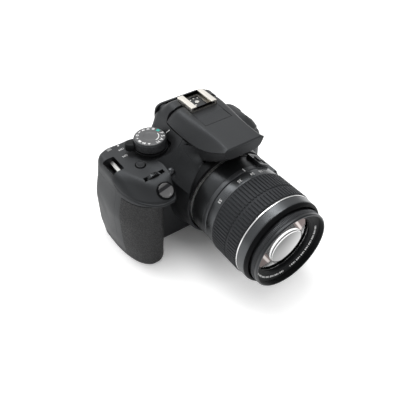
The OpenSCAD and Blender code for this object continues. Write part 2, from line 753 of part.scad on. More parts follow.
// Accessory shoe: plate, two walls and their lips
module hot_shoe() {
    deep = shoe_y[1] - shoe_y[0];
    half = shoe_slot / 2;
    color(cream_steel) translate([0, shoe_y[0], shoe_base]) {
        difference() {
            translate([-half - 1.4, 0, 0]) cube([2 * half + 2.8, deep, 0.7]);
            translate([-5, 3, -1]) cube([10, 13, 3]);
        }
        for (s = [-1, 1]) {
            translate([s * (half + 0.7) - 0.7, 0, 0.7]) cube([1.4, deep, shoe_high - 0.7]);
            translate([s > 0 ? shoe_gap / 2 : -half - 1.4, 0, shoe_high - 0.9])
                cube([half + 1.4 - shoe_gap / 2, deep, 0.9]);
        }
        translate([-half, 0, 0.7]) cube([2 * half, 1, 0.7]);
    }
}

module shoe_contacts() {
    color(gloss_black) translate([0, shoe_y[0], shoe_base]) {
        translate([-4.7, 3.3, 0.02]) cube([9.4, 12.4, 0.6]);
        for (p = [[0, 9], [-3, 13], [3, 13], [0, 13.6], [-3, 5.6]])
            translate([p[0], p[1], 0.6]) cylinder(r = p == [0, 9] ? 1.6 : 0.7, h = 0.35, $fn = 24);
    }
}

// Strap bars across their pockets
module strap_lugs() {
    color(steel) {
        translate(lug_left) rotate([0, -lug_tilt, 0]) strap_bar();
        translate(lug_right) rotate([0, lug_tilt, 0]) mirror([1, 0, 0]) strap_bar();
    }
}

module strap_bar() {
    translate([-0.8, -7.55, -1.4]) cube([1.6, 15.1, 2.6]);
}

// Window of the screen between two depths, grown by t
module screen_window(t, y0, y1) {
    plate([screen_x[0] - t, y0, screen_rows[0] - t], [screen_x[1] + t, y1, screen_rows[1] + t], 2);
}

// Screen behind its window
module lcd_screen() {
    color(gloss_black) {
        translate([screen_x[0] - 1.2, rear_depth - 7, screen_rows[0] - 1.2])
            cube([screen_x[1] - screen_x[0] + 2, 4.2, screen_rows[1] - screen_rows[0] + 2.4]);
        screen_window(0, rear_depth - 3, rear_depth + 0.2);
    }
}

// One round rear button: its cap stands out of the rear face
module rear_button(k) {
    color(charcoal) to_rear(k[1], k[2], rear_at(k)) {
        translate([0, 0, -2.6]) cylinder(r = k[3], h = 3.7);
        translate([0, 0, -4.4]) cylinder(r = k[3] / 2, h = 2);
    }
}

// Door of the battery bay with its hinge stubs
module battery_door() {
    color(charcoal) {
        difference() {
            translate([-72, -13.5, 0.4]) cube([18.2, 34, 2]);
            for (y = [-10:4:14]) translate([-71, y, 0]) cube([0.6, 2, 0.7]);
        }
        translate(door_hinge - [0, 18.6, 0]) rotate([-90, 0, 0]) cylinder(r = 0.8, h = 37.2);
    }
}

module battery() {
    color([0.16, 0.16, 0.17]) translate([-70.6, -12.5, 3.6]) cube([13.4, 32, 43]);
}

// Soft door over the sockets on the far side
module terminal_cover() {
    color(rubber_black) translate([far_side - 1.6, 2.3, 18.3]) cube([1.7, 19.4, 35.4]);
}

module red_eye_lamp() {
    color(glass_tint) translate(lamp_at + [0, 1, 0]) rotate([90, 0, 0]) intersection() {
        cylinder(r = 2.5, h = 2.4);
        translate([0, 0, -2.6]) sphere(r = 5);
    }
}

// Lens mount: rear tube with three tabs behind the lugs, and the face that seats on the ring
module lens_bayonet() {
    color(steel) {
        on_axis(flange + 0.1) ring(31.5, 22, 2.1);
        on_axis(flange - 4.2) ring(24.9, 22, 4.4);
        on_axis(flange - 3.9) for (a = [0:120:240]) rotate([0, 0, a + 90]) sector(27.2, 24.6, 1.5, 50);
        on_axis(flange - 4.2) ring(22.4, 13, 1.4);
    }
}

// Fixed barrel: outer tube, seat for the mount, sleeve under the zoom ring and inner guide
module fixed_barrel() {
    color(gloss_black) difference() {
        union() {
            on_axis(flange + 0.4) ring(barrel_r, 31.7, 2.2);
            on_axis(flange + 2.2) ring(barrel_r, 23, 2);
            on_axis(flange + 4.2) ring(barrel_r, 30.9, 13);
            on_axis(45.6) ring(31, 30, 38.4);
            on_axis(flange + 4.2) ring(27.2, 26, 30);
            for (a = switch_angles) switch_boss(a);
        }
        for (a = switch_angles) switch_frame(a) translate([-3.7, -5.3, 1.4]) cube([7.4, 10.6, 3]);
    }
}

// Flat patch on the barrel: local +Z outward, local Y around the barrel
module switch_frame(angle) {
    translate([0, 0, axis_z]) rotate([0, angle, 0]) translate([0, -38, barrel_r]) children();
}

module switch_boss(angle) {
    switch_frame(angle) translate([-5.6, -7.2, -1.6]) cube([11.2, 14.4, 4]);
}

module switch_knob(angle) {
    switch_frame(angle) translate([-3.3, -4.9, 1.55]) {
        cube([4, 9.8, 0.9]);
        translate([0.4, 2.4, 0.9]) cube([3.2, 5, 0.9]);
    }
}

module af_switch() {
    color(charcoal) switch_knob(switch_angles[0]);
}

module stabilizer_switch() {
    color(charcoal) switch_knob(switch_angles[1]);
}

// Zoom ring: number band, seat for the rubber, bright line groove and the front band with its lip
module zoom_ring() {
    color(gloss_black) translate([0, 0, axis_z]) rotate([90, 0, 0]) rotate_extrude($fn = 96) polygon([
        [31.4, 46], [32.9, 46], [33.3, 46.5], [33.4, 53.8], [33.05, 53.9], [33.05, 80.1], [33.5, 80.3],
        [33.5, 81.6], [33.3, 81.8], [33.25, 87.4], [32.9, 88.9], [32.1, 90.1], [31.4, 90.5], [31, 90.5],
        [31, 87], [31.4, 86.6],
    ]);
}

// Rubber sleeve with two rows of ribs
module zoom_rubber() {
    color(rubber_black) on_axis(54.1) difference() {
        union() {
            cylinder(r = 33.6, h = 25.8, $fn = 240);
            translate([0, 0, 0.6]) linear_extrude(height = 14) ribbed_disc(34.15, 33.55, zoom_ribs);
            translate([0, 0, 16.2]) linear_extrude(height = 9) ribbed_disc(34.15, 33.55, zoom_ribs);
        }
        translate([0, 0, -1]) cylinder(r = 33.1, h = 40, $fn = 240);
    }
}

module front_barrel() {
    color(gloss_black) {
        on_axis(50) ring(29.4, 27.8, 41.6);
    }
}

module iris_unit() {
    color(gloss_black) on_axis(69.4) difference() {
        cylinder(r = 27.75, h = 2, $fn = 96);
        translate([0, 0, -1]) cylinder(r = 7, h = 4);
    }
}

// Helical carrier between the front barrel and the front cell
module focus_carrier() {
    color(gloss_black) on_axis(72.2) ring(27.3, 25, 17);
}

// Finely ribbed focus ring
module focus_ring() {
    color(gloss_black) on_axis(92) difference() {
        linear_extrude(height = 3.4) ribbed_disc(30.4, 30.05, focus_ribs);
        translate([0, 0, -1]) cylinder(r = 29.25, h = 6, $fn = 240);
    }
}

// Front cell: filter rim, sloping front ring and the tube that holds the front element
module front_cell() {
    color(gloss_black) translate([0, 0, axis_z]) rotate([90, 0, 0]) rotate_extrude($fn = 96) polygon([
        [30.2, 95.6], [30.2, 97.2], [29.7, 97.9], [filter_r, 97.9], [filter_r, 94.2], [24.4, 92],
        [22.6, 91.6],
        [22.6, 74], [24.4, 74], [24.4, 90.6], [29.2, 92.8], [29.2, 95.6],
    ]);
}

module front_element() {
    color(glass_tint) on_axis(84) intersection() {
        cylinder(r = 22.5, h = 12);
        translate([0, 0, -73.4]) sphere(r = 83.3);
    }
}

module rear_element() {
    color(glass_tint) on_axis(flange - 2.6) cylinder(r = 16, h = 3.4);
}

front_cover();
rear_cover();
top_cover();
bottom_cover();
rubber_grips();
screws();
tripod_bush();
mirror_box();
mount_flange();
lens_release_button();
reflex_mirror();
focusing_screen();
pentamirror();
eyepiece_lens();
eyecup();
diopter_knob();
shutter_frame();
shutter_blades();
image_sensor();
main_board();
mode_dial();
power_switch();
main_dial();
shutter_button();
flash_button();
flash_head();
flash_lamp();
flash_hinge_pin();
hot_shoe();
shoe_contacts();
strap_lugs();
lcd_screen();
battery_door();
battery();
terminal_cover();
red_eye_lamp();
lens_bayonet();
fixed_barrel();
zoom_ring();
zoom_rubber();
front_barrel();
focus_carrier();
focus_ring();
front_cell();
front_element();
rear_element();
iris_unit();
af_switch();
stabilizer_switch();
for (k = rear_buttons) rear_button(k);
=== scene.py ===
# %% [markdown]
# # A reflex camera with its zoom lens
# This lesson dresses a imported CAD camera. The frame gives the solids and their joints, in metres, with the
# lens looking along -Y, the grip at -X and the base on z = 0. Every piece made here rides on one of its bodies.

# %% Load the frame
import math
import bpy
import numpy as np
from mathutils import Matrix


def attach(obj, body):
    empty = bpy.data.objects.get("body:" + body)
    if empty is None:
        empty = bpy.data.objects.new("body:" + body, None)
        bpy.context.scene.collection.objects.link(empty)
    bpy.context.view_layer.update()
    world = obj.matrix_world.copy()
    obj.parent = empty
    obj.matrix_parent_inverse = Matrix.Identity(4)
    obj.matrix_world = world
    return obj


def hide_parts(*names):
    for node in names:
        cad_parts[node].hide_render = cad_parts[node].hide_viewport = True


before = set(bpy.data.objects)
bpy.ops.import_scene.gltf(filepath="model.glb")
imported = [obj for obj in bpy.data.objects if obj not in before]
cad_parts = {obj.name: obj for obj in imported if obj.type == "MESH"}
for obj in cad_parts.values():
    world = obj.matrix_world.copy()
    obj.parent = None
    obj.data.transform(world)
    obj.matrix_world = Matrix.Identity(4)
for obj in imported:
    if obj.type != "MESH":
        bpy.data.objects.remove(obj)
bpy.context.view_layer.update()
MM = 0.001
print("nodes in the frame:", len(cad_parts))

# %% [markdown]
# ## Surfaces from arrays
# A surface is a grid of points, worked out as one array; each point makes a quad with its next neighbours.
# A loft joins closed rings and shuts both ends; a turned piece carries one closed profile round an axis.

# %% Grids and lofts
AXIS_Z = 41.0
ACROSS, FORWARD, BACKWARD, UP = (1, 0, 0), (0, -1, 0), (0, 1, 0), (0, 0, 1)
ORIGIN = (0, 0, AXIS_Z)


def angles(n):
    """n even steps round a turn, in radians."""
    return np.linspace(0, 2 * np.pi, n, endpoint=False)


def cos_sin(degrees):
    return math.cos(math.radians(degrees)), math.sin(math.radians(degrees))


def grid_faces(m, n, wrap=False):
    """Quads of an m by n grid: each joins (i, j), (i+1, j), (i+1, j+1), (i, j+1). j runs round, and i too if asked."""
    i, j = np.arange(m if wrap else m - 1)[:, None], np.arange(n)[None, :]
    i2, j2 = (i + 1) % m, (j + 1) % n
    return np.stack([i * n + j, i2 * n + j, i2 * n + j2, i * n + j2], -1).reshape(-1, 4)


def outward(points, faces):
    """Turns all faces round if the volume under them, the sum of p0 . (p1 x p2), comes out negative."""
    p = (points - points.mean(0))[faces]
    volume = sum((p[:, 0] * np.cross(p[:, k], p[:, k + 1])).sum() for k in (1, 2))
    return faces if volume > 0 else faces[:, ::-1]


def mesh_object(name, points, faces, caps=()):
    """Puts points in mm and faces into a mesh object at the origin; caps holds more faces as lists of indices."""
    mesh = bpy.data.meshes.new(name)
    mesh.from_pydata(np.asarray(points, float).reshape(-1, 3) * MM, [], list(map(tuple, faces)) + list(caps))
    mesh.update()
    return shown(name, mesh)


def shown(name, data):
    """Object with the given data, linked to the scene."""
    item = bpy.data.objects.new(name, data)
    bpy.context.collection.objects.link(item)
    return item


def loft(name, rings):
    """Closed solid through rings of shape (m, n, 3): quads between neighbours, strips across both end rings."""
    m, n = rings.shape[:2]
    points = rings.reshape(-1, 3)
    quads = grid_faces(m, n)
    facing = outward(points, quads)
    i = np.arange(n // 2)
    strip = np.concatenate([np.stack([i, i + 1, n - 1 - i], 1)[:(n - 1) // 2],
                            np.stack([i, n - 1 - i, n - i], 1)[1:]])
    if facing is not quads:
        strip = strip[:, ::-1]
    return mesh_object(name, points, facing, strip.tolist() + (strip[:, ::-1] + (m - 1) * n).tolist())


def rounded(profile, radius, steps=4):
    """Softens a closed outline: at each corner P a curve (1-t)^2 A + 2t(1-t) P + t^2 B joins its two sides."""
    p = np.asarray(profile, float)
    before, after = np.roll(p, 1, 0) - p, np.roll(p, -1, 0) - p
    lb, la = np.linalg.norm(before, axis=1), np.linalg.norm(after, axis=1)
    d = np.minimum(radius, 0.45 * np.minimum(lb, la))
    a, b = p + before * (d / lb)[:, None], p + after * (d / la)[:, None]
    t = np.linspace(0, 1, steps)[None, :, None]
    return ((1 - t) ** 2 * a[:, None] + 2 * t * (1 - t) * p[:, None] + t ** 2 * b[:, None]).reshape(-1, 2)


# %% Turned and extruded pieces
def turned(name, profile, sides, soft, about=(ORIGIN, FORWARD, UP), ribs=None):
    """Carries a closed profile (r, h) round an axis. Point = r cos a, r sin a across and h along it.
    The axis is that of the lens and h runs forward, unless about = (point, direction, across) sets another.
    ribs(a, r, h) gives a new r, for knurls."""
    p = rounded(profile, soft) if soft else np.asarray(profile, float)
    a = angles(sides)[:, None]
    r, h = (np.broadcast_to(p[:, k], (sides, len(p))) for k in (0, 1))
    if ribs is not None:
        r = ribs(a, r, h)
    at, along, up = (np.array(v, float) for v in about)
    side = np.cross(along, up)
    points = at + (r * np.cos(a))[..., None] * up + (r * np.sin(a))[..., None] * side + h[..., None] * along
    points = points.reshape(-1, 3)
    return mesh_object(name, points, outward(points, grid_faces(sides, len(p), True)))


def extruded(name, outline, low, high, place=lambda u, v, d: (u, v, d)):
    """Carries a closed flat outline from depth low to high; place(u, v, d) says where in space."""
    u, v = np.asarray(outline, float).T
    return loft(name, np.stack([np.stack(place(u, v, np.full_like(u, d)), -1) for d in (low, high)]))


def rect(u0, v0, u1, v1, radius=0.0, steps=6):
    """Outline of a rectangle with rounded corners, anticlockwise."""
    p = [(u0, v0), (u1, v0), (u1, v1), (u0, v1)]
    return rounded(p, radius, steps) if radius else np.array(p, float)


def box(name, low, high):
    """Rectangular block between two corners, as a two-ring loft along z."""
    return extruded(name, rect(*low[:2], *high[:2]), low[2], high[2])


# %% [markdown]
# ## Cutting and joining
# Openings are cut with the Boolean modifier and its quick solid solver, then the result becomes a plain mesh.
# Small cutters are joined first, so that the large shell is cut by all of them at once.

# %% Cutting tools
def apply(item):
    """Makes an object's modified shape its own mesh."""
    graph = bpy.context.evaluated_depsgraph_get()
    mesh = bpy.data.meshes.new_from_object(item.evaluated_get(graph))
    item.modifiers.clear()
    old, item.data = item.data, mesh
    bpy.data.meshes.remove(old)
    mesh.name = item.name


def combine(item, others, how):
    """Joins, cuts or meets item with each of the others in turn, and removes them."""
    for other in others:
        step = item.modifiers.new("step", "BOOLEAN")
        step.solver, step.operation, step.object = "MANIFOLD", how, other
        apply(item)
        bpy.data.objects.remove(other)
    return item


def united(items):
    return combine(items[0], items[1:], "UNION")


def cut(item, *others):
    return combine(item, others, "DIFFERENCE")


def met(item, *others):
    return combine(item, others, "INTERSECT")


def finish(item, body, look, stands_for=(), crease=32):
    """Shades a piece smooth up to the crease angle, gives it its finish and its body."""
    mesh = item.data
    mesh.polygons.foreach_set("use_smooth", np.ones(len(mesh.polygons), bool))
    mesh.set_sharp_from_angle(angle=math.radians(crease))
    mesh.materials.clear()
    mesh.materials.append(FINISHES[look])
    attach(item, body)
    if stands_for:
        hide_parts(*stands_for)
    return item


# %% [markdown]
# ## Finishes
# Each finish is a small node tree. A wrapped socket lets the mask maths be written as plain expressions, and one
# method makes any other node. Patterns read Object coordinates, so they stay put when a piece moves.

# %% Sockets with operators
class Value:
    """A number that varies over a surface; the operators add Math nodes."""

    def __init__(self, tree, socket):
        self.tree, self.socket = tree, socket

    def math(self, how, *values):
        node = self.tree.nodes.new("ShaderNodeMath")
        node.operation = how
        for place, value in zip(node.inputs, values):
            link(self.tree, value, place)
        return Value(self.tree, node.outputs[0])

    def __rsub__(self, other):
        return self.math("SUBTRACT", other, self)

    def __abs__(self):
        return self.math("ABSOLUTE", self)


for method, how in {"add": "ADD", "sub": "SUBTRACT", "mul": "MULTIPLY", "gt": "GREATER_THAN", "or": "MAXIMUM"}.items():
    setattr(Value, "__%s__" % method, lambda self, other, how=how: self.math(how, self, other))


def link(tree, value, place):
    """Links a wrapped socket to a place, or sets a plain number or colour there."""
    if isinstance(value, Value):
        tree.links.new(value.socket, place)
    else:
        place.default_value = value


# %% Node trees
class Nodes:
    """Makes nodes in one tree; their inputs take wrapped sockets or constants."""

    def __init__(self, tree):
        self.tree = tree

    def node(self, kind, inputs=None, out=0, **settings):
        made = self.tree.nodes.new("ShaderNode" + kind)
        for key, value in settings.items():
            setattr(made, key, value)
        for key, value in (inputs or {}).items():
            link(self.tree, value, made.inputs[key])
        return Value(self.tree, made.outputs[out])

    def coords(self):
        return self.node("TexCoord", out="Object")

    def noise(self, per_metre, detail=2.0, rough=0.5, at=None):
        return self.node("TexNoise", {
            "Vector": at or self.coords(), "Scale": per_metre, "Detail": detail, "Roughness": rough})

    def cells(self, per_metre, feature="F1"):
        return self.node("TexVoronoi", {"Vector": self.coords(), "Scale": per_metre}, "Distance", feature=feature)

    def vector(self, how, a, b):
        return self.node("VectorMath", {0: a, 1: b}, "Value", operation=how)

    def ramp(self, value, low, high, to_low=0.0, to_high=1.0):
        return self.node("MapRange", {
            "Value": value, "From Min": low, "From Max": high, "To Min": to_low, "To Max": to_high})

    def uneven(self, cloud, low, high):
        """Spreads the usual range of a noise over another range."""
        return self.ramp(cloud, 0.3, 0.7, low, high)

    def blend(self, factor, first, second):
        return self.node("Mix", {"Factor": factor, 6: first, 7: second}, 2, data_type="RGBA")

    def seen(self):
        """1 on rays from the camera and on those that a mirror or glass sends on, 0 on rays that gather light."""
        eye, mirror, through = (self.node("LightPath", out="Is %s Ray" % kind)
                                for kind in ("Camera", "Glossy", "Transmission"))
        return eye | mirror | through


class Finish(Nodes):
    """A material with one Principled shader, whose sockets are set by name."""

    def __init__(self, name, **constants):
        material = FINISHES[name] = bpy.data.materials.new(name)
        material.use_nodes = True
        super().__init__(material.node_tree)
        self.set(**constants)

    def set(self, **values):
        for key, value in values.items():
            link(self.tree, value, self.tree.nodes["Principled BSDF"].inputs[key.replace("_", " ")])
        return self

    def bump(self, height, strength, depth_mm):
        return self.set(Normal=self.node("Bump", {
            "Strength": strength, "Distance": depth_mm * MM, "Height": height}))


def grey(level, tint=0.0):
    return (level, level * (1 + 0.25 * tint), level * (1 + tint), 1.0)


def cool(tint):
    """Colour of a reflection that leans to blue by the tint."""
    return (1 - 1.2 * tint, 1 - 0.6 * tint, 1, 1)


FINISHES = {}


# %% Plastics, rubbers and metals
def moulded(name, level, rough, grain=1500, strength=0.12, tint=0.08, specular=0.5):
    """Moulded plastic: a fine spark-eroded grain in the bump, slow cloudiness in colour and gloss."""
    f = Finish(name, Metallic=0.0, Specular_IOR_Level=specular, Specular_Tint=cool(tint))
    cloud, fine = f.noise(60, 3.0), f.noise(grain)
    f.set(Base_Color=f.blend(cloud, grey(level * 0.88, tint), grey(level * 1.12, tint)),
          Roughness=f.uneven(cloud * 0.6 + fine * 0.4, rough - 0.05, rough + 0.05))
    return f.bump(fine, strength, 0.05)


moulded("body_plastic", 0.014, 0.48, specular=0.42)
moulded("hood_plastic", 0.014, 0.46, specular=0.42)
moulded("control_plastic", 0.013, 0.42)
moulded("gloss_black", 0.006, 0.24, 900, 0.03)
moulded("barrel_black", 0.007, 0.33, 1600, 0.06)
moulded("band_black", 0.009, 0.30, 1600, 0.05, specular=0.95)
moulded("bevel_grey", 0.028, 0.34, 1600, 0.05, specular=0.7)
moulded("ring_grey", 0.036, 0.40, 1600, 0.05, specular=0.6)
moulded("inner_black", 0.006, 0.75)
moulded("recess_black", 0.008, 0.6)
moulded("screen_black", 0.006, 0.09, 300, 0.0)
moulded("dial_skirt", 0.020, 0.42)
moulded("dial_top", 0.088, 0.34, 2200, 0.06, tint=0.03)
moulded("lamp_milk", 0.085, 0.18, 600, 0.0, specular=0.6)
moulded("mount_black", 0.005, 0.40, specular=0.15)
moulded("painted_shade_black", 0.004, 0.50, specular=0.08)
moulded("screen_grey", 0.016, 0.12, 300, 0.0)
moulded("white_mark", 0.78, 0.5, tint=0.0)
moulded("grey_mark", 0.30, 0.5, tint=0.0)
moulded("battery_shell", 0.02, 0.5)


def pebbled(name, level, rough, per_metre, depth_mm, tint=0.0):
    """Grip rubber: rounded cells raised from thin valleys; the valleys carry painted shade, darker than the tops, and
    are duller.
    """
    f = Finish(name, Specular_IOR_Level=0.4, Specular_Tint=cool(tint))
    height = 1 - f.ramp(f.cells(per_metre), 0.12, 0.62) + f.noise(per_metre * 0.5, 1.0) * 0.3
    # Painted shade: the valleys are darker than the cell tops.
    dark, light = (grey(level * k, 0.06 + tint) for k in (0.6, 1.25))
    f.set(Base_Color=f.blend(f.ramp(height, 0.1, 1.0), dark, light),
          Roughness=f.ramp(height, 0.0, 1.2, rough + 0.1, rough - 0.08))
    return f.bump(height, 0.55, depth_mm)


pebbled("grip_rubber", 0.020, 0.60, 1250, 0.28)
pebbled("soft_rubber", 0.022, 0.56, 4200, 0.05, 0.08)


def metal(name, colour, rough, grain, along):
    """Bare metal: fine streaks made by stretching a noise along one axis."""
    f = Finish(name, Metallic=1.0)
    stretch = [0.06 if axis == along else 1.0 for axis in range(3)]
    streak = f.noise(grain, 3.0, 0.6, f.node("Mapping", {"Vector": f.coords(), "Scale": stretch}))
    f.set(Base_Color=f.blend(streak, (*(0.8 * c for c in colour), 1), (*colour, 1)),
          Roughness=f.uneven(streak, rough * 0.8, rough * 1.25))
    return f.bump(streak, 0.05, 0.03)


metal("chrome", (0.88, 0.88, 0.86), 0.45, 900, 1)
metal("shoe_steel", (0.86, 0.83, 0.77), 0.30, 1400, 1)
metal("silver_line", (0.88, 0.88, 0.88), 0.22, 900, 0)
metal("contact_steel", (0.75, 0.74, 0.70), 0.2, 900, 0)
print("finishes:", len(FINISHES))

# %% Glass and finishes with painted reflections
SHUTTER_AT, SHUTTER_R = np.array([-50.4, -23.5, 66.0]), 5.2
TILT_COS, TILT_SIN = cos_sin(35)


def glass(name, tint, rough=0.02):
    """Clear glass with a faint unevenness in tint and polish."""
    f = Finish(name, IOR=1.5, Transmission_Weight=1.0)
    cloud = f.noise(150)
    return f.set(Base_Color=f.blend(cloud, (*(0.95 * c for c in tint), 1), (*tint, 1)),
                 Roughness=f.uneven(cloud, rough * 0.7, rough * 1.3))


glass("clear_glass", (0.93, 0.95, 0.97))
glass("lamp_glass", (0.42, 0.40, 0.38), 0.12)


def button_reflection_painted(name):
    """Shutter button: a gloss whose base colour is a painted reflection, a light grey field with a dark band across its
    upper half.
    """
    f = Finish(name)
    up_face = np.array([-0.17, 0.985 * TILT_COS, 0.985 * TILT_SIN])
    rise = f.vector("DOT_PRODUCT", f.coords(), up_face) - float(SHUTTER_AT @ up_face * MM)
    # Painted reflection: a dark band over the upper half and a light grey field elsewhere, in the base colour.
    band = f.ramp(rise, 0.0004, 0.0010) * (1 - f.ramp(rise, 0.0028, 0.0036))
    return f.set(Base_Color=f.blend(band, (0.11, 0.108, 0.11, 1), (0.006, 0.006, 0.008, 1)),
                 Roughness=f.uneven(f.noise(300), 0.13, 0.2))


def lens_reflection_painted(name):
    """Front lens: a painted reflection of the room in its base colour, two crescents and a soft field under them, with
    a warm painted facet at either side. s runs up and to the grip on the disc and t across that, both in metres from
    the axis."""
    f = Finish(name, Metallic=1.0)
    f.set(Roughness=f.uneven(f.noise(150), 0.02, 0.05))
    at = f.coords()
    s_way, t_way = np.array([-0.52, 0, 0.854]), np.array([0.854, 0, 0.52])
    s, t = (f.vector("DOT_PRODUCT", at, way) - float(AXIS_Z * MM * way[2]) for way in (s_way, t_way))
    t = abs(t)

    def round_field(shift):
        middle = np.array([0, -92.5, AXIS_Z]) + (2.6 - shift) * s_way + 0.3 * t_way
        return f.ramp(f.vector("DISTANCE", at, middle * MM), 0.0137, 0.0141, 1, 0)

    first, gap, second, field = (round_field(k) for k in (0, 2.3, 3.8, 5.0))
    low = field | f.ramp(s, -0.003, 0.001, 1, 0)
    side = f.ramp(t, 0.0125, 0.0135) * f.ramp(s, 0.0, 0.003) * (1 - first)
    streak = f.ramp(t, 0.0142, 0.0148) - f.ramp(t, 0.0160, 0.0168)
    # Painted reflection: the crescents, the field under them and the side facets carry mirrored room light in the base
    # colour.
    painted_crescents = first - gap + second - field
    painted_mirror = painted_crescents | low | side
    level = low * f.ramp(s, 0.010, -0.008, 0.20, 0.56) + painted_crescents * 0.85 + (1 - painted_mirror) * 0.25
    warm = f.blend(streak, (0.14, 0.11, 0.105, 1), (0.55, 0.5, 0.48, 1))
    return f.set(Base_Color=f.blend(side, level, warm), Alpha=f.ramp(painted_mirror, 0, 1, 0.3, 1))


button_reflection_painted("shutter_painted_reflection")
lens_reflection_painted("lens_painted_reflection")
dim = Finish("window_glass", IOR=1.5)
cloud = dim.noise(150)
dim.set(Base_Color=dim.blend(cloud, (0.02, 0.022, 0.03, 1), (0.03, 0.03, 0.036, 1)),
        Roughness=dim.uneven(cloud, 0.03, 0.06), Alpha=dim.uneven(cloud, 0.5, 0.6))
mirror = Finish("mirror_glass", Base_Color=(0.85, 0.87, 0.9, 1), Metallic=1.0)
mirror.set(Roughness=mirror.uneven(mirror.noise(200), 0.02, 0.05))
board = Finish("sensor_board", Roughness=0.45)
tracks = board.cells(420, "DISTANCE_TO_EDGE")
board.set(Base_Color=board.blend(tracks > 0.05, (0.25, 0.3, 0.12, 1), (0.03, 0.12, 0.07, 1)))
teal = Finish("teal_mark", Roughness=0.5)
teal.set(Base_Color=teal.blend(teal.noise(500), (0.03, 0.36, 0.30, 1), (0.04, 0.44, 0.37, 1)))
print("finishes with glass:", len(FINISHES))

# %% [markdown]
# ## The body form
# The body is one smooth form: a flat box with rounded ends, a grip column, a lobe above the finger ledge, a thumb
# rest behind and a hump for the finder. Each upright slice across the depth is a closed ring of points (y, z), so
# the whole form is a grid in x and in the place along the ring, and every swelling is a formula of x, y and z.

# %% Formulas of the form
GRIP_SIDE, FAR_SIDE, REAR, FRONT = 80.2, 52.0, 32.0, 8.0
LEDGE_Z, DECK_Z, HOOD_Z, WALL = 59.4, 74.0, 96.2, 2.0
COLUMN_Z, LOBE_Z = 50, 70
LEFT_ROUND, RIGHT_ROUND, RIM, BASE_ROUND = 6.5, 12.0, 4.0, 3.6
HOOD_WIDE, HOOD_FLAT, HOOD_FLARE, HOOD_FRONT, HOOD_SKIN = 23.5, 13.1, 3.6, -42.4, 1.8
HINGE_Y, HINGE_Z, BACK_R = 10.5, 92.0, 6.5
TONGUE_HALF, TONGUE_FRONT, HOOD_FLOOR, SEAM = 10.9, -13.8, 84.5, 0.3
SEAM_BEND, SEAM_LOW, NOSE_BEND, NOSE_LOW = -15, 86, -28, 76.5


def clamp01(t):
    return np.clip(t, 0, 1)


def smooth(a, b, x):
    """Rises from 0 at a to 1 at b along 3t^2 - 2t^3."""
    t = clamp01((x - a) / (b - a))
    return t * t * (3 - 2 * t)


def mix(a, b, t):
    return a + (b - a) * t


def quarter(t):
    """Sag of a quarter circle: 1 - sqrt(1 - t^2)."""
    return 1 - np.sqrt(np.maximum(0, 1 - clamp01(t) ** 2))


def smax(a, b, k):
    """The larger of two heights, with a blend of width k where they meet."""
    return np.maximum(a, b) + np.maximum(0, k - np.abs(a - b)) ** 2 / (4 * k)


def ramp(t, k):
    """0, then rising with slope 1, with the corner rounded over k."""
    return np.where(t > k, t, np.where(t < -k, 0, (t + k) ** 2 / (4 * k)))


def hood_top(y):
    """Top line of the hood: a slight even slope that drops behind the shoe."""
    return HOOD_Z + 0.04 * (y - HOOD_FRONT) - 0.9 * ramp(y - 23, 2)


def hood_seam_z(y):
    """Lower edge of the hood: a shallow parabola over the finder, and a steeper power of y on to the front."""
    ahead = np.maximum(SEAM_BEND - y, 0) / (SEAM_BEND - HOOD_FRONT)
    return SEAM_LOW + np.where(y > SEAM_BEND, 0.0022 * (y - SEAM_BEND) ** 2, 9 * ahead ** 1.9)


def hood_half(y):
    """Half width of the hood: full over the finder, then narrowing as a power of y towards the front."""
    return mix(HOOD_WIDE, HOOD_FLAT + HOOD_FLARE, clamp01((8 - y) / 50) ** 1.7)


def fullness(y):
    """How full the hood's flanks are: rounder at the front than over the finder."""
    return mix(1.5, 2.4, smooth(-30, 10, y))


def hood_height(x, y):
    """Flat to HOOD_FLAT, then down a curved flank to the seam, then steeply on, less so in front of the mode dial."""
    top = hood_top(y)
    low, half, u = np.minimum(hood_seam_z(y), top - 2), hood_half(y), np.abs(x) - HOOD_FLAT
    flank = top - (top - low) * (np.maximum(u, 0) / (half - HOOD_FLAT)) ** fullness(y)
    steep = 2.6 - 1.1 * smooth(8, -4, y) * (x < 0)
    return np.where(u <= 0, top, np.where(np.abs(x) < half, flank, low - steep * (np.abs(x) - half)))


def lobe_fall(x, y):
    """Fall of the deck in front of a curved crease, the same at every x where the lobe's outline is reached."""
    crease = -17.5 + 22 * smooth(-50, -76, x) ** 2
    return 8.4 * ramp(np.minimum(1, (crease - y) / np.maximum(5, crease + front_wall(x, LOBE_Z))), 0.3)


def body_top(x, y):
    """Height of the top: straight falls with rounded bends on either deck, and the hump blended into them."""
    left = DECK_Z - 0.15 * ramp(-39 - x, 3) + 0.15 * ramp(-52 - x, 4) - 0.06 * ramp(14 - y, 3) - lobe_fall(x, y)
    right = 74.4 - 0.05 * (x - 27) - 0.45 * ramp(8 - y, 4)
    return smax(np.where(x < 0, left, right), hood_height(x, y), 11)


def swell(x, run, depth, inner_x, inner_run):
    """Depth of a grip outline: a flattened quarter ellipse from the side, and a quarter circle at its inner end."""
    outer = (depth + 3.5) * (1 - (1 - clamp01((x + GRIP_SIDE) / run)) ** 1.85) ** 0.54 - 3.5
    return np.minimum(outer, FRONT + (depth - FRONT) * (1 - quarter((x - inner_x) / inner_run)))


def front_wall(x, z):
    """Depth of the front: a column under the ledge passes into a wider lobe above it."""
    low = 1 - smooth(0, 32, z)
    column = swell(x, mix(15, 20, smooth(10, 54, z)), FRONT + 18, mix(-57.5, -62.5, low), mix(7, 11, low))
    return mix(column, swell(x, 25, FRONT + 22.5, -49.5, 8.5), smooth(LEDGE_Z - 1.2, LEDGE_Z + 0.6, z))


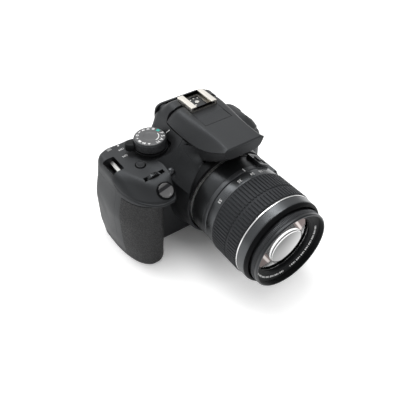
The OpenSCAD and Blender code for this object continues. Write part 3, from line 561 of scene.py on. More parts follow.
def end_sag(x, t):
    """How far the faces draw in at the two ends, each a quarter circle, t under the surface."""
    l, r = x + GRIP_SIDE - t, FAR_SIDE - t - x
    return np.where(l < LEFT_ROUND, LEFT_ROUND * quarter(1 - l / LEFT_ROUND),
                    np.where(r < RIGHT_ROUND, RIGHT_ROUND * quarter(1 - r / RIGHT_ROUND), 0))


def thumb_swell(x):
    """Thumb rest on the back: a smooth rise from the side and a smooth fall to the screen."""
    return 3.4 * smooth(-78, -66, x) * (1 - smooth(-50, -37, x))


def leaned(x, z):
    """The grip side leans in towards the deck and tucks in at the base."""
    return x + (4.9 * smooth(38, 68, z) + 1.7 * (1 - smooth(0, 18, z))) * clamp01((-40 - x) / 39)


def top_inside(x, y, t):
    """Top of the form, or of the hollow t under it, kept inside steep flanks."""
    if t <= 0:
        return body_top(x, y) - t
    s = 1.3 * t
    return np.minimum(np.minimum(body_top(x, y), body_top(x - s, y)), body_top(x + s, y)) - t


# %% Slices of the form
def slices(xs, t, fine):
    """Rings (m, n, 3), one for each x: base, rear wall with the thumb rest, rim, top, rim, front wall."""
    x = np.asarray(xs, float)[:, None]
    sag = end_sag(x, t)
    low_back = REAR - t - sag
    back = low_back + thumb_swell(x)
    top_front = t + sag - front_wall(x, COLUMN_Z if t > 0 else LOBE_Z)
    rim = mix(1.5, RIM, smooth(-46, -41, x))
    front_rim = top_inside(x, top_front, t) - sag - rim
    back_rim = top_inside(x, back, t) - sag - RIM
    a = np.linspace(0, 90, 3 * fine + 1)[None]
    c, s = np.cos(np.radians(a)), np.sin(np.radians(a))
    rise = BASE_ROUND * (1 - c)
    base_back = low_back - 2.4 * (1 - s), t + rise
    z = np.concatenate([np.linspace(BASE_ROUND + 1, 43, 4 * fine), np.linspace(44, 58, 7 * fine)])[None]
    z = np.minimum(z + 0 * x, back_rim - 0.05 * np.arange(z.size, 0, -1))
    rear = mix(low_back, back, smooth(44, 57, z)), np.maximum(z, t + BASE_ROUND)
    rim_back = back - RIM * (1 - c), back_rim + RIM * s
    y = mix(back - RIM, top_front + rim, np.linspace(0, 1, 20 * fine)[1:-1][None])
    top = y, top_inside(x, y, t) - sag
    rim_front = (top_front + rim * (1 - c))[:, ::-1], (front_rim + rim * s)[:, ::-1]
    z = np.concatenate([np.linspace(92, 62, 5 * fine), np.linspace(61.5, 57.1, 6 * fine),
                        np.linspace(56.5, BASE_ROUND, 9 * fine)])[None]
    z = np.minimum(z + 0 * x, front_rim - 0.03 * np.arange(1, z.size + 1))
    front = (t + sag - front_wall(x, np.minimum(z, COLUMN_Z) if t > 0 else z),
             np.maximum(z, t + 0.02 * np.arange(z.shape[1], 0, -1)))
    base_front = (t + sag - front_wall(x, 0) + 3 * (1 - s))[:, ::-1][:, 1:], (t + rise)[:, ::-1][:, 1:]
    parts = [base_back, rear, rim_back, top, rim_front, front, base_front]
    ys = np.concatenate([p[0] + 0 * x for p in parts], 1)
    zs = np.concatenate([p[1] + 0 * x for p in parts], 1)
    return np.stack([leaned(x + 0 * ys, zs), ys, zs], -1)


def spread(stops):
    """Places along x: each (from, to, count) adds an even run."""
    return np.unique(np.concatenate([np.linspace(a, b, n) for a, b, n in stops]).round(4))


end_left = -GRIP_SIDE + LEFT_ROUND * (1 - np.cos(np.linspace(0, np.pi / 2, 14)))
end_right = FAR_SIDE - RIGHT_ROUND * (1 - np.cos(np.linspace(0, np.pi / 2, 16)))
fine_x = np.unique(np.concatenate([end_left, end_right, spread([
    (-73.5, -60, 24), (-60, -40.9, 56), (-40.9, -28, 22), (-28, -12, 34), (-12, 12, 10), (12, 30, 36), (30, 41, 8)])]))
rings = slices(fine_x, 0, 4)
print("body grid:", rings.shape)

# %% [markdown]
# ## Covers with their openings
# The form is joined with the boss round the mount and the nose under the hood, and hollowed. A slab makes the slope
# down to the mount, and the room over it is scooped out. Every control has its opening in the same place as in the
# solids. Four regions then part the shell into the covers, with fine seams between.

# %% Places of the controls
DIAL_AT, DIAL_R = np.array([-38.9, 14.1, 74.4]), 11.7
WHEEL_AT, WHEEL_R = np.array([-51.4, -10.7, 66.3]), 6.4
FLASH_BUTTON_AT, RELEASE_AT, LAMP_AT = (-53.6, 3.5, 71.5), (39, -8, 33), (-36.5, -8, 65.5)
SHUTTER_UP = (0, -TILT_SIN, TILT_COS)
LUGS = {"left": ((-66.6, 14.2, 67.5), -38), "right": ((46.5, 14.2, 68.0), 38)}
FINDER_Z, DIOPTER_AT, DIOPTER_R = 76.0, (-16.2, REAR - 0.4, 88.2), 4.6
HINGE_AT, DOOR_HINGE_AT = (0, HINGE_Y, HINGE_Z), (-55, 3.5, 1.5)
SCREEN, MOUNT_R = (-22, 8, 40.8, 58), 33.0
SHOE_Y, SHOE_BASE, SHOE_SLOT = (3.2, 21.2), float(hood_top(3.2)), 18.6
BASE_SCREWS = [(-40, 22), (-24, -3), (40, 22), (34, -1)]
KEYS = {"key_up": (-45, 42.4, 3.2), "key_down": (-45, 23.6, 3.2), "key_left": (-35.6, 33, 3.2),
        "key_right": (-54.4, 33, 3.2), "set_button": (-45, 33, 4), "playback_button": (-36, 12, 3.4),
        "menu_button": (-54, 12, 3.4), "exposure_button": (-31, 52, 3.4), "live_view_button": (-33, 65, 3.4),
        "lock_button": (-55, 62, 3.4), "af_point_button": (-65, 61, 3.4)}


def key_face(x, z):
    """Depth of the back under a key, which is the thumb rest's for the upper keys."""
    return REAR + (float(thumb_swell(np.array(x))) if z > 60 else 0.0)


# %% Shapes of openings
def disc(name, profile, at, along, up=ACROSS, sides=72):
    """Turned solid whose profile starts and ends on its axis: rings of radius r at h, shut with flat ends."""
    p = np.asarray(profile, float)[1:-1]
    a = angles(sides)[None, :]
    at, along, up = (np.array(v, float) for v in (at, along, up))
    along = along / np.linalg.norm(along)
    side = np.cross(along, up)
    ring = np.cos(a)[..., None] * up + np.sin(a)[..., None] * side
    return loft(name, at + p[:, :1, None] * ring + p[:, 1:, None] * along)


def well(name, at, along, r, deep):
    """Round hole of radius r from deep under a face to above it, with a softened mouth."""
    p = [(0, -deep), (r, -deep), (r, -0.5), (r + 0.25, -0.1), (r + 0.9, 0.35), (r + 1.6, 4), (0, 4)]
    return disc(name, p, at, along)


def rod(name, at, along, r, low, high, sides=48):
    """Round bar of radius r along a direction, from low to high."""
    up = ACROSS if abs(along[0]) < 0.5 else UP
    return disc(name, [(0, low), (r, low), (r, high), (0, high)], at, along, up, sides)


def rear_plate(name, u0, v0, u1, v1, y0, y1):
    """Upright plate with rounded corners, from depth y0 to y1."""
    return extruded(name, rect(u0, v0, u1, v1, 2), y0, y1, lambda u, v, d: (u, d, v))


def tilted_box(name, at, tilt, low, high):
    """Block in a frame turned by tilt about Y: x' = x cos + z sin, z' = z cos - x sin."""
    c, s = cos_sin(tilt)
    place = lambda u, v, d: (at[0] + u * c + d * s, at[1] + v, at[2] - u * s + d * c)
    return extruded(name, rect(*low[:2], *high[:2], 0.8), low[2], high[2], place)


def pockets(x, y):
    """Blocks over both strap bars, as wide as given, for the pockets or with their walls."""
    return [tilted_box("pocket", at, tilt, (-x, -y, -x), (x, y, 9.8)) for at, tilt in LUGS.values()]


def hood_space(gap):
    """Room for the hood: its plan outline above the floor and a trough round the hinge, less the tongue."""
    ys = np.linspace(HINGE_Y + 4.6, -10, 12)
    right = np.stack([hood_half(ys) + gap, ys], -1)
    space = extruded("space", np.concatenate([right, right[::-1] * (-1, 1)]), HOOD_FLOOR, 120)
    half = HOOD_WIDE + 0.9 * gap
    space = united([space, rod("trough", HINGE_AT, ACROSS, BACK_R + gap, -half, half, 96)])
    return cut(space, box("keep", (-TONGUE_HALF, TONGUE_FRONT, 60), (TONGUE_HALF, 60, 130)),
               box("under", (-60, -60, 0), (60, 60, HOOD_FLOOR)))


# %% Boss, nose and shoulder
def boss(name, t, front, back):
    """Collar round the mount: the radius flares from the flange back to the wall, and the lower half squares
    off towards two feet on the base."""
    s = np.linspace(0, 1, 24)[:, None]
    a = angles(160)[None, :]
    flare = 2.8 + 2.0 * s + 4.5 * s ** 6
    r = MOUNT_R + flare - t + 0 * a
    square = clamp01(-np.cos(a)) ** 2 * np.abs(np.sin(2 * a)) * 5 * s ** 0.7
    x, z = (r + square) * np.sin(a), AXIS_Z + (r + square) * np.cos(a)
    return loft(name, np.stack([x, mix(-front, -back, s) + 0 * a, np.maximum(z, t)], -1))


def nose(name, t, lift):
    """Trough under the hood's front: each ring has a round bottom that rises forward to the front plate."""
    y = np.concatenate([np.linspace(-6, NOSE_BEND, 12), np.linspace(NOSE_BEND - 1, HOOD_FRONT + 0.2 + t, 20)])[:, None]
    ahead = np.maximum(NOSE_BEND - y, 0) / (NOSE_BEND - HOOD_FRONT)
    rise = np.where(y > NOSE_BEND, mix(NOSE_LOW, 60, clamp01((y - NOSE_BEND) / 20)), mix(NOSE_LOW, 87, ahead ** 1.25))
    half, top, low = hood_half(y) - t, hood_seam_z(y) + lift, rise + t
    q = np.linspace(-1, 1, 41)[None, :]
    shape = np.sign(q) * (1 - (1 - np.abs(q)) ** 2.2)
    fall = np.abs(shape) ** 7
    return loft(name, np.stack([half * shape, y + 0 * q, mix(low, top, fall)], -1))


def shoulder():
    """Slope from the deck and the hump down to the mount: at each u a parabola (1-t)^2 A + 2t(1-t) M + t^2 B, where
    A on the deck, M between and B on the collar are straight lines through seven places, averaged over a fifth."""
    a, h = np.radians([68, 58, 48, 43, 39, 31, 24]), np.array([26.5, 25, 23, 22, 21.5, 20.5, 19.5])
    reach = MOUNT_R + 2.8
    places = np.array([
        [(-43.5, 2, 0), (-38, 0.5, 0), (-33.4, 0, 0), (-30, -1.4, 0), (-26.5, -3.6, 0),
         (-22.6, -12, 85.5), (-20.5, -22, 86.5)],
        [(-41.5, -5.5, 62), (-36, -4, 64.3), (-31, -7, 68.4), (-29, -9, 70.4), (-27, -11, 73),
         (-22.5, -16, 76.5), (-18.8, -21, 79)],
        np.stack([-reach * np.sin(a), -h, AXIS_Z + reach * np.cos(a)], -1)])
    places[0, :5, 2] = body_top(places[0, :5, 0], places[0, :5, 1]) - 0.1
    u, t = np.linspace(-0.1, 1.1, 73), np.linspace(0, 1, 24)[None, :, None]
    paths = [[np.interp(u, (0, 0.2, 0.4, 0.5, 0.6, 0.8, 1), line[:, k]) for k in range(3)] for line in places]
    a, m, b = (np.stack([np.convolve(x, np.ones(13) / 13, "valid") for x in path], -1)[:, None] for path in paths)
    return (1 - t) ** 2 * a + 2 * t * (1 - t) * m + t ** 2 * b


# %% Form and hollow
tongue_top = float(hood_top(TONGUE_FRONT))
tongue = (-TONGUE_HALF, TONGUE_FRONT, tongue_top - 3.4)
form = united([
    loft("form", rings),
    boss("boss", 0, 27.2, 4.0),
    nose("nose", 0, -0.3),
    box("tongue", tongue, (TONGUE_HALF, TONGUE_FRONT + 20, tongue_top)),
])
hollow_x = spread([(-GRIP_SIDE, FAR_SIDE, 70)])
fit = (FAR_SIDE + GRIP_SIDE - 2 * WALL) / (FAR_SIDE + GRIP_SIDE)
hollow = united([
    loft("hollow", slices((hollow_x + GRIP_SIDE) * fit - GRIP_SIDE + WALL, WALL, 1)),
    boss("boss_in", WALL, 29.8, 4.2),
    nose("nose_in", WALL, 6),
])
ears = [box("ear", WHEEL_AT + (-3, y, -5.2), WHEEL_AT + (3, y + 1.6, 6.7)) for y in (-3.4, 1.8)]
cut(hollow,
    box("post", (-TONGUE_HALF, 3, HOOD_FLOOR + 2), (TONGUE_HALF, 24, 120)),
    box("post", tongue, (TONGUE_HALF, 8.2, 120)),
    box("floor", (-26, -7, HOOD_FLOOR - WALL), (26, 20, HOOD_FLOOR)),
    met(united(pockets(5.4, 8.8)), box("over", (-100, 0, 61), (100, 30, 100))), *ears)
print("form and hollow:", len(form.data.polygons), len(hollow.data.polygons), "faces")

# %% Openings
half = SHOE_SLOT / 2 + 1.7
cutters = [
    well("dial", DIAL_AT, UP, DIAL_R + 1.6, 0.4),
    rod("dial_room", DIAL_AT, UP, DIAL_R + 0.8, 2, 14, 96),
    rod("dial_shaft", DIAL_AT, UP, 4.6, -12, 4),
    well("shutter", SHUTTER_AT, SHUTTER_UP, SHUTTER_R + 0.6, 2.3),
    rod("stem", SHUTTER_AT, SHUTTER_UP, 2.4, -5, -1),
    well("flash_key", FLASH_BUTTON_AT, UP, 3.6, 12),
    rod("wheel", WHEEL_AT, BACKWARD, WHEEL_R + 0.3, -1.8, 1.8, 96),
    box("wheel", WHEEL_AT + (-7.75, -1.8, 1.5), WHEEL_AT + (7.75, 1.8, 11.5)),
    rod("axle", WHEEL_AT, BACKWARD, 1.5, -3.5, 3.5),
    *pockets(4.2, 7.6),
    well("release", RELEASE_AT, FORWARD, 5.4, 12),
    rod("lamp", LAMP_AT, FORWARD, 2.6, -1.05, 6),
    rod("mount", ORIGIN, FORWARD, MOUNT_R + 0.5, 0, 60, 160),
    rear_plate("screen", SCREEN[0] - SEAM, SCREEN[1] - SEAM, SCREEN[2] + SEAM, SCREEN[3] + SEAM, 24, 40),
    rear_plate("finder", -10, FINDER_Z - 6.5, 10, FINDER_Z + 6.5, 20, 40),
    rod("diopter", DIOPTER_AT, FORWARD, DIOPTER_R + 0.4, -1, 5, 72),
    rod("diopter_axle", DIOPTER_AT, FORWARD, 1.5, 0, 8),
    box("bay", (-72.4, -13.9, -3), (-51.8, 20.9, 4)),
    rod("bay_hinge", DOOR_HINGE_AT, BACKWARD, 1.1, -19, 19),
    box("finder_room", (-17.2, -21.5, 60.5), (17.2, 24.5, HOOD_FLOOR - 1.7)),
    rod("socket", (0, 0, 0), UP, 6.2, -1, 7, 72),
    box("side_door", (FAR_SIDE - 1.7, 2, 18), (FAR_SIDE + 4.3, 22, 54)),
    box("side_bay", (FAR_SIDE - 6, 4, 20), (FAR_SIDE, 20, 52)),
    box("shoe_seat", (-half, SHOE_Y[0] - SEAM, SHOE_BASE), (half, 44, SHOE_BASE + 10)),
    hood_space(SEAM),
    rod("hinge", HINGE_AT, ACROSS, 1.3, -30, 30),
]
cutters += [well(n, (x, key_face(x, z), z), BACKWARD, r + 0.4, 9) for n, (x, z, r) in KEYS.items()]
cutters += [well("screw", (x, y, 0), (0, 0, -1), 1.9, 1.2) for x, y in BASE_SCREWS]

slope, SCOOPED = shoulder(), slice(3, 41)
slab = loft("shoulder", np.concatenate([slope, slope[:, ::-1] + (1.4, 1.7, -1.7)], 1))
over = slope[SCOOPED, [-1, 12, 0]] + np.array([(-2, -8, 6), (0, -8, 8), (-1, -4, 6)])
form = united([cut(form, hollow), slab])
cut(form, loft("scoop", np.concatenate([slope[SCOOPED], over], 1)), united(cutters))
print("shell:", len(form.data.polygons), "faces")

# %% The four covers
SPLIT_Y, SEAM_Z, BASE_TOP, HAIR, FAR = 1.0, 61.0, 3.0, 0.05, 150
tongue_gap = box("gap", (-TONGUE_HALF - 1, TONGUE_FRONT - 1, 91), (TONGUE_HALF + 1, 16, 111))
regions = {
    "front": cut(united([
        box("r", (-FAR, -FAR, BASE_TOP + HAIR), (FAR, SPLIT_Y, SEAM_Z - HAIR)),
        box("r", (-35, -60, SEAM_Z - 1), (35, -FRONT - HAIR, 120))]), tongue_gap),
    "rear": box("r", (-FAR, SPLIT_Y + 2 * HAIR, BASE_TOP + HAIR), (FAR, FAR, SEAM_Z - HAIR)),
    "top": united([
        box("r", (-FAR, -FRONT, SEAM_Z + HAIR), (FAR, FAR, 121)),
        box("r", (-FAR, -60, SEAM_Z + HAIR), (-35.1, 90, 121)),
        box("r", (-TONGUE_HALF, TONGUE_FRONT, 91.5), (TONGUE_HALF, 16.2, 121))]),
    "bottom": box("r", (-FAR, -FAR, -1), (FAR, FAR, BASE_TOP - HAIR)),
}


def collar_region():
    """Room of the dark collar, which is partly a darker finish and partly painted shade: a rod round the mount, met
    with a wedge that slants back as it rises.
    """
    wedge = [(-40, 100), (-12.1, 100), (-28.5, 47), (-40, 47)]
    return met(rod("collar", ORIGIN, FORWARD, 38.6, FRONT + 0.3, 40, 160),
               extruded("slant", wedge, -50, 50, lambda u, v, d: (d, u, v)))


for side, region in regions.items():
    cover = met(shown(side + "_shell", form.data.copy()), region)
    if side == "front":
        # The dark collar round the mount is partly a darker finish and partly painted shade, where the lens and the
        # hood shade the front.
        mask = met(shown("mount_collar_and_shade", cover.data.copy()), collar_region())
        finish(mask, "body", "mount_black", ["front_cover"])
        cut(cover, collar_region())
    finish(cover, "body", "body_plastic", [side + "_cover"])
    print(cover.name, len(cover.data.polygons), "faces")
bpy.data.objects.remove(form)

# %% [markdown]
# ## Flash hood
# The hood is a U-shaped skin with curved flanks. Its rings are set close at the front, where they draw in along a
# quarter circle so that the edge is soft, and behind the hinge, where the top falls along the hinge's own circle.

# %% Hood
def hood_rings(y, t, drop):
    """Ring at each y: up the left flank, over the flat, down the right flank; t draws it in, drop lowers its edge."""
    half, flat, back_r = hood_half(y) - t, HOOD_FLAT - 0.6 * t, BACK_R - t
    fall = np.where(y <= HINGE_Y, 0, back_r - np.sqrt(np.maximum(0.01, back_r ** 2 - (y - HINGE_Y) ** 2)))
    top = hood_top(y) - t - fall
    low = np.minimum(hood_seam_z(y), top - 0.6) - drop
    b = np.linspace(0, 1, 22)[None, :]
    x, z = mix(flat, half, b), top - (top - low) * b ** fullness(y)
    middle = np.linspace(-1, 1, 9)[None, 1:-1]
    xs = np.concatenate([-x[:, ::-1], flat * middle, x], 1)
    zs = np.concatenate([z[:, ::-1], top + 0 * middle, z], 1)
    return np.stack([xs, y + 0 * xs, zs], -1)


LIP = 0.7
edge = np.linspace(0, LIP, 6)
y_hood = np.concatenate([HOOD_FRONT + edge, np.linspace(-41.2, HINGE_Y, 60), HINGE_Y + np.linspace(0.4, 5.5, 14)])
draw_in = np.concatenate([LIP * quarter(1 - edge / LIP), np.zeros(74)])
y_in = np.linspace(HOOD_FRONT + HOOD_SKIN, 14.4, 40)[:, None]
hood = cut(loft("hood", hood_rings(y_hood[:, None], draw_in[:, None], 0)),
           loft("inside", hood_rings(y_in, HOOD_SKIN + 0 * y_in, 3)),
           box("u", (-TONGUE_HALF - SEAM, TONGUE_FRONT - SEAM, 80), (TONGUE_HALF + SEAM, 60, 120)))
for x in (-13.2, 13.2):
    at = (x, HINGE_Y, HINGE_Z)
    lug = united([rod("lug", at, ACROSS, 2.6, -1.4, 1.4),
                  box("neck", (x - 1.4, HINGE_Y - 2.6, HINGE_Z), (x + 1.4, HINGE_Y + 2.6, 97))])
    united([hood, cut(lug, rod("bore", at, ACROSS, 1.25, -3, 3))])
finish(hood, "flash_hood", "hood_plastic", ["flash_head"])
print("hood:", len(hood.data.polygons), "faces")

# %% [markdown]
# ## Rubber skins
# The grip skin follows the horizontal outline of the grip at every height. The face that is seen is plain and stands
# a little off the outline. The rolled edge and the fine border are on the other face, which is sunk into the body.

# %% Grip skin and thumb pad
def skin(name, path, heights, thick, border):
    """path(z) gives the outline (n, 2) at each height, with the body on its right. Sunk face = outline + inward * deep,
    where deep grows from the edge along a quarter circle and has a bead; the seen face stands outside the outline."""
    z = np.asarray(heights, float)
    line = np.stack([path(h) for h in z])
    step = np.gradient(line, axis=1)
    step /= np.linalg.norm(step, axis=-1, keepdims=True) + 1e-9
    inward = np.stack([step[..., 1], -step[..., 0]], -1)
    along = np.cumsum(np.linalg.norm(np.diff(line, axis=1, prepend=line[:, :1]), axis=-1), 1)
    inset = np.minimum(np.minimum(along, along[:, -1:] - along), np.minimum(z - z[0], z[-1] - z)[:, None])
    deep = thick * (1 - quarter(1 - inset / 0.7)) + border * np.exp(-((inset - 1.5) / 0.45) ** 2) - 0.05
    sunk, seen = line + inward * deep[..., None], line - 0.35 * inward
    ring = np.concatenate([sunk, seen[:, ::-1]], 1)
    x, y = ring[..., 0], ring[..., 1]
    return loft(name, np.stack([leaned(x, z[:, None] + 0 * x), y, z[:, None] + 0 * x], -1))


GRIP_EDGE, GRIP_INNER = -GRIP_SIDE + 1.7, -48.9
edge_x = np.array([0, 0.05, 0.12, 0.22, 0.35, 0.5, 0.7])
grip_x = fine_x[(fine_x < GRIP_INNER) & (fine_x > GRIP_EDGE)]
grip_x = np.unique(np.concatenate([grip_x, [GRIP_INNER], GRIP_EDGE + edge_x]))


def grip_outline(z):
    """The front of the grip at a height, from its inner corner round to the side."""
    return np.stack([grip_x, end_sag(grip_x, 0) - front_wall(grip_x, z)], -1)[::-1]


def thumb_outline(z):
    """The back of the thumb rest at a height, from the side inward."""
    x = np.linspace(-75, -59.2, 40)
    y = REAR - end_sag(x, 0) + thumb_swell(x) * smooth(44, 57, z)
    return np.stack([x, y], -1)


edge_z = np.array([0, 0.15, 0.35, 0.6, 0.9, 1.2, 1.5, 1.8, 2.1])
grip_z = np.concatenate([4 + edge_z, np.linspace(6.6, 55.7, 50), 58.2 - edge_z[::-1]])
thumb_z = np.concatenate([22 + edge_z, np.linspace(24.6, 51.4, 28), 54 - edge_z[::-1]])
for item in (skin("grip_skin", grip_outline, grip_z, 0.6, 0.22), skin("thumb_skin", thumb_outline, thumb_z, 0.6, 0.2)):
    finish(item, "body", "grip_rubber", ["rubber_grips"], 50)
    print(item.name, len(item.data.polygons), "faces")

# %% [markdown]
# ## Lens
# Every lens piece is one closed profile carried round the axis. Ribs are a smooth pulse of the angle added to the
# radius inside their rows.

# %% Barrel and ribs
def pulse(count, a, wide):
    """Between 0 and 1, count times a turn; the crest takes the share of the pitch that wide sets."""
    return smooth(-0.3, 0.3, np.cos(count * a) - np.cos(np.pi * wide))


def inside(h, rows):
    """1 where h lies in one of the rows, with soft ends."""
    return sum(smooth(a - 0.15, a + 0.15, h) * (1 - smooth(b - 0.15, b + 0.15, h)) for a, b in rows)


def switch_seat(name, angle, low, high, half_x, half_y, soft):
    """Block standing on the barrel at an angle from the top, u across it, v back along it and d outward."""
    c, s = cos_sin(angle)
    place = lambda u, v, d: ((BARREL_R + d) * s + u * c, v - 38, AXIS_Z + (BARREL_R + d) * c - u * s)
    return extruded(name, rect(-half_x, -half_y, half_x, half_y, soft), low, high, place)


BARREL_R, ZOOM_RIBS, FOCUS_RIBS = 33.0, 84, 180
ZOOM_ROWS = [(54.7, 68.7), (70.3, 79.3)]
barrel = turned("barrel", [(BARREL_R, 28.8), (BARREL_R, 42), (31.2, 42), (31.2, 28.8)], 240, 0.3)
for angle in (31, 67):
    united([barrel, cut(switch_seat("seat", angle, -1.6, 2.4, 5.6, 7.2, 1.6),
                        switch_seat("slot", angle, 1.4, 5, 3.7, 5.3, 0.8))])
finish(barrel, "lens", "barrel_black", ["fixed_barrel"])
print("barrel:", len(barrel.data.polygons), "faces")


# %% Rings of the lens
thread = [(28.75 - 0.28 * (k % 2), 97.6 - 0.3 * k) for k in range(11)]


def zoom_ribs(a, r, h):
    return r + 0.75 * pulse(ZOOM_RIBS, a, 0.62) * inside(h, ZOOM_ROWS) * (r > 33.3)


def focus_ribs(a, r, h):
    return r - 0.7 * pulse(FOCUS_RIBS, a, 0.5) * (r > 30.2)


# name, body, finish, node, places round, softening, ribs, profile (r, h)
LENS_RINGS = [
    ("barrel_bevel", "lens", "bevel_grey", "fixed_barrel", 240, 0.1, None,
     [(33, 42.02), (33, 45.2), (32.6, 45.6), (29.7, 45.6), (29.7, 43), (31.2, 42.02)]),
    ("zoom_body", "zoom", "band_black", "zoom_ring", 240, 0.25, None,
     [(31.4, 46), (32.9, 46), (33.3, 46.5), (33.4, 53.8), (33.05, 53.9), (33.05, 80.1), (33.5, 80.3), (33.5, 81.6),
      (33.3, 81.8), (33.25, 87.4), (32.9, 88.9), (32.1, 90.1), (31.4, 90.5), (31, 90.5), (31, 87), (31.4, 86.6)]),
    # The next ring is a thin dark sheet over the zoom ring's front chamfer: painted shade that widens the dark gap
    # there.
    ("zoom_bevel_painted_shade", "zoom", "painted_shade_black", None, 240, 0.1, None,
     [(33.2, 88.1), (32.95, 88.98), (32.15, 90.2), (31.4, 90.6), (31, 90.6), (31, 90.4), (31.9, 89.9), (32.6, 88.6)]),
    ("zoom_sleeve", "zoom", "soft_rubber", "zoom_rubber", ZOOM_RIBS * 12, 0.1, zoom_ribs,
     [(33.1, 54.1), (33.4, 54.1), (33.4, 54.6), (33.4, 55), (33.4, 68.4), (33.4, 69), (33.4, 70), (33.4, 70.6),
      (33.4, 79), (33.4, 79.9), (33.1, 79.9)]),
    ("silver_line", "zoom", "silver_line", None, 240, 0.1, None,
     [(33.3, 80.55), (33.62, 80.55), (33.62, 81.45), (33.3, 81.45)]),
    ("inner_tube", "inner_barrel", "barrel_black", "front_barrel", 200, 0.2, None,
     [(27.8, 50), (29.4, 50), (29.4, 91.6), (27.8, 91.6)]),
    ("focus_grip", "focus_group", "ring_grey", "focus_ring", FOCUS_RIBS * 8, 0.08, focus_ribs,
     [(29.25, 92), (30.0, 92), (30.4, 92.3), (30.4, 95.1), (30.1, 95.4), (29.25, 95.4)]),
    ("front_rim", "focus_group", "barrel_black", "front_cell", 240, 0.06, None,
     [(29.2, 95.6), (30.2, 95.6), (30.2, 97.2), (29.7, 97.9), (28.98, 97.9), (28.98, 95.6)]),
    ("front_cell", "focus_group", "mount_black", "front_cell", 240, 0.06, None,
     [(28.97, 97.75), (28.8, 97.75)] + thread + [
         (28.75, 94.2), (24.5, 92.1), (24.3, 92.35), (23.2, 92.2), (22.6, 91.6), (22.6, 74), (24.4, 74), (24.4, 90.2),
         (29.2, 92.8), (29.2, 95.5), (28.97, 95.5)]),
]
for name, body, look, node, sides, soft, ribs, profile in LENS_RINGS:
    ring = turned(name, profile, sides, soft, ribs=ribs)
    finish(ring, body, look, [node] if node else ())
print("lens rings:", len(LENS_RINGS))

# %% Glass and iris
def lens_profile(r, back, mid, front, radius):
    """Half section of a lens: flat back, side up to mid, then an arc of the given radius whose top lies at front."""
    x = r * np.linspace(1, 0, 26)[:-1]
    h = front - radius + np.sqrt(radius ** 2 - x ** 2)
    return [(0, back), (r, back), (r, mid), *zip(x, h), (0.02, front), (0, front)]


def six_sided(a, r, h):
    """Draws the inner edge of the leaves in to a hexagon: r = apothem / cos of the angle from its nearest side."""
    return np.where(r < 8, 7.4 * np.cos(np.pi / 6) / np.cos((a % (np.pi / 3)) - np.pi / 6), r)


front_glass = disc("front_glass", lens_profile(22.5, 84, 90.4, 93.8, 83.3), ORIGIN, FORWARD, UP, 144)
finish(front_glass, "focus_group", "lens_painted_reflection", ["front_element"], 40)
leaves = turned("iris_leaves", [(6.2, 70.2), (24.5, 70.6), (24.5, 71.2), (6.4, 70.9)], 180, 0, ribs=six_sided)
finish(leaves, "inner_barrel", "inner_black", ["iris_unit"])
print("front glass and iris made")

# %% [markdown]
# ## Printed marks
# Words are made as text, turned into a mesh and then carried point by point onto a surface by a formula, so a
# number on the zoom ring bends with the ring. Plain shapes go the same way.

# %% Places for marks
DIAL_TOP = 9.3


def lens_place(angle, h, r):
    """u runs round the lens, v forward along it and d outward, from an angle off the top towards the grip."""
    def place(u, v, d):
        a = math.radians(angle) + u / r
        return -(r + d) * np.sin(a), -(h + v), AXIS_Z + (r + d) * np.cos(a)
    return place


def deck_place(x0, y0, turn=0.0, lift=0.0):
    """u, v and d on the top face as seen by someone behind the camera, turned in degrees. The lean of the grip side,
    which is even along the deck's edge, is taken out before the height is looked up."""
    c, s = cos_sin(turn)
    def place(u, v, d):
        x, y = x0 - (u * c - v * s), y0 - (u * s + v * c)
        flat = np.where(x < -40, (x + 5.0256) / 0.87436, x)
        return x, y, body_top(flat, y) - end_sag(flat, 0) + (d + lift)
    return place


def dial_place(angle, rho):
    """u across and v outward on top of the mode dial, at a plan angle and a distance from its middle."""
    c, s = cos_sin(angle)
    def place(u, v, d):
        return DIAL_AT[0] + (rho + v) * c + u * s, DIAL_AT[1] + (rho + v) * s - u * c, DIAL_AT[2] + DIAL_TOP + d
    return place


def rear_place(x0, z0, y):
    """u to the right and v up for someone behind the camera, d towards them."""
    return lambda u, v, d: (x0 - u, y + d, z0 + v)


# %% Words and signs
def words(name, text, size, place, body, bold=0.0):
    """Text as a thin plate on a surface, its points carried there by place."""
    curve = bpy.data.curves.new(name, "FONT")
    curve.body, curve.size, curve.align_x, curve.align_y, curve.extrude = text, size, "CENTER", "CENTER", 0.03
    curve.offset = bold
    holder = shown(name, curve)
    mesh = bpy.data.meshes.new_from_object(holder.evaluated_get(bpy.context.evaluated_depsgraph_get()))
    bpy.data.objects.remove(holder)
    flat = np.empty(len(mesh.vertices) * 3)
    mesh.vertices.foreach_get("co", flat)
    u, v, d = flat.reshape(-1, 3).T
    mesh.vertices.foreach_set("co", (np.stack(place(u, v, d), -1) * MM).ravel())
    return finish(shown(name, mesh), body, "white_mark")


def sign(name, outlines, place, body, look="white_mark"):
    """Flat shapes, each an outline in u and v, as thin plates on a surface; several become one piece."""
    return finish(united([extruded(name, o, -0.03, 0.03, place) for o in outlines]), body, look)


def arc(r0, r1, a0, a1, n=16):
    """Outline of a curved bar between two radii and two angles in degrees."""
    a = np.radians(np.linspace(a0, a1, n))
    ray = np.stack([np.cos(a), np.sin(a)], -1)
    return np.concatenate([ray * r1, ray[::-1] * r0])


# %% Marks on the lens
for text, angle in (("18", -16.5), ("24", -3.4), ("35", 15.3), ("55", 48.2)):
    words("zoom_" + text, text, 3.3, lens_place(angle, 50.2, 33.42), "zoom")
sign("zoom_index", [rect(-0.3, -1.6, 0.3, 1.6)], lens_place(0, 43.6, 33.02), "lens")


def front_cone(u, v, d):
    """u up and v to the grip on the sloping ring in front of the glass, d forward."""
    return -v, -(94.2 + 0.494 * (np.hypot(u, v) - 28.75) + d), AXIS_Z + u


for start in (98, 196):
    bars = [arc(25.7, 26.7, start + 3.5 * j, start + 3.5 * j + (2.4 if j % 3 else 1.2), 4) for j in range(25)]
    sign("front_ticks", bars, front_cone, "focus_group")
print("lens marks made")

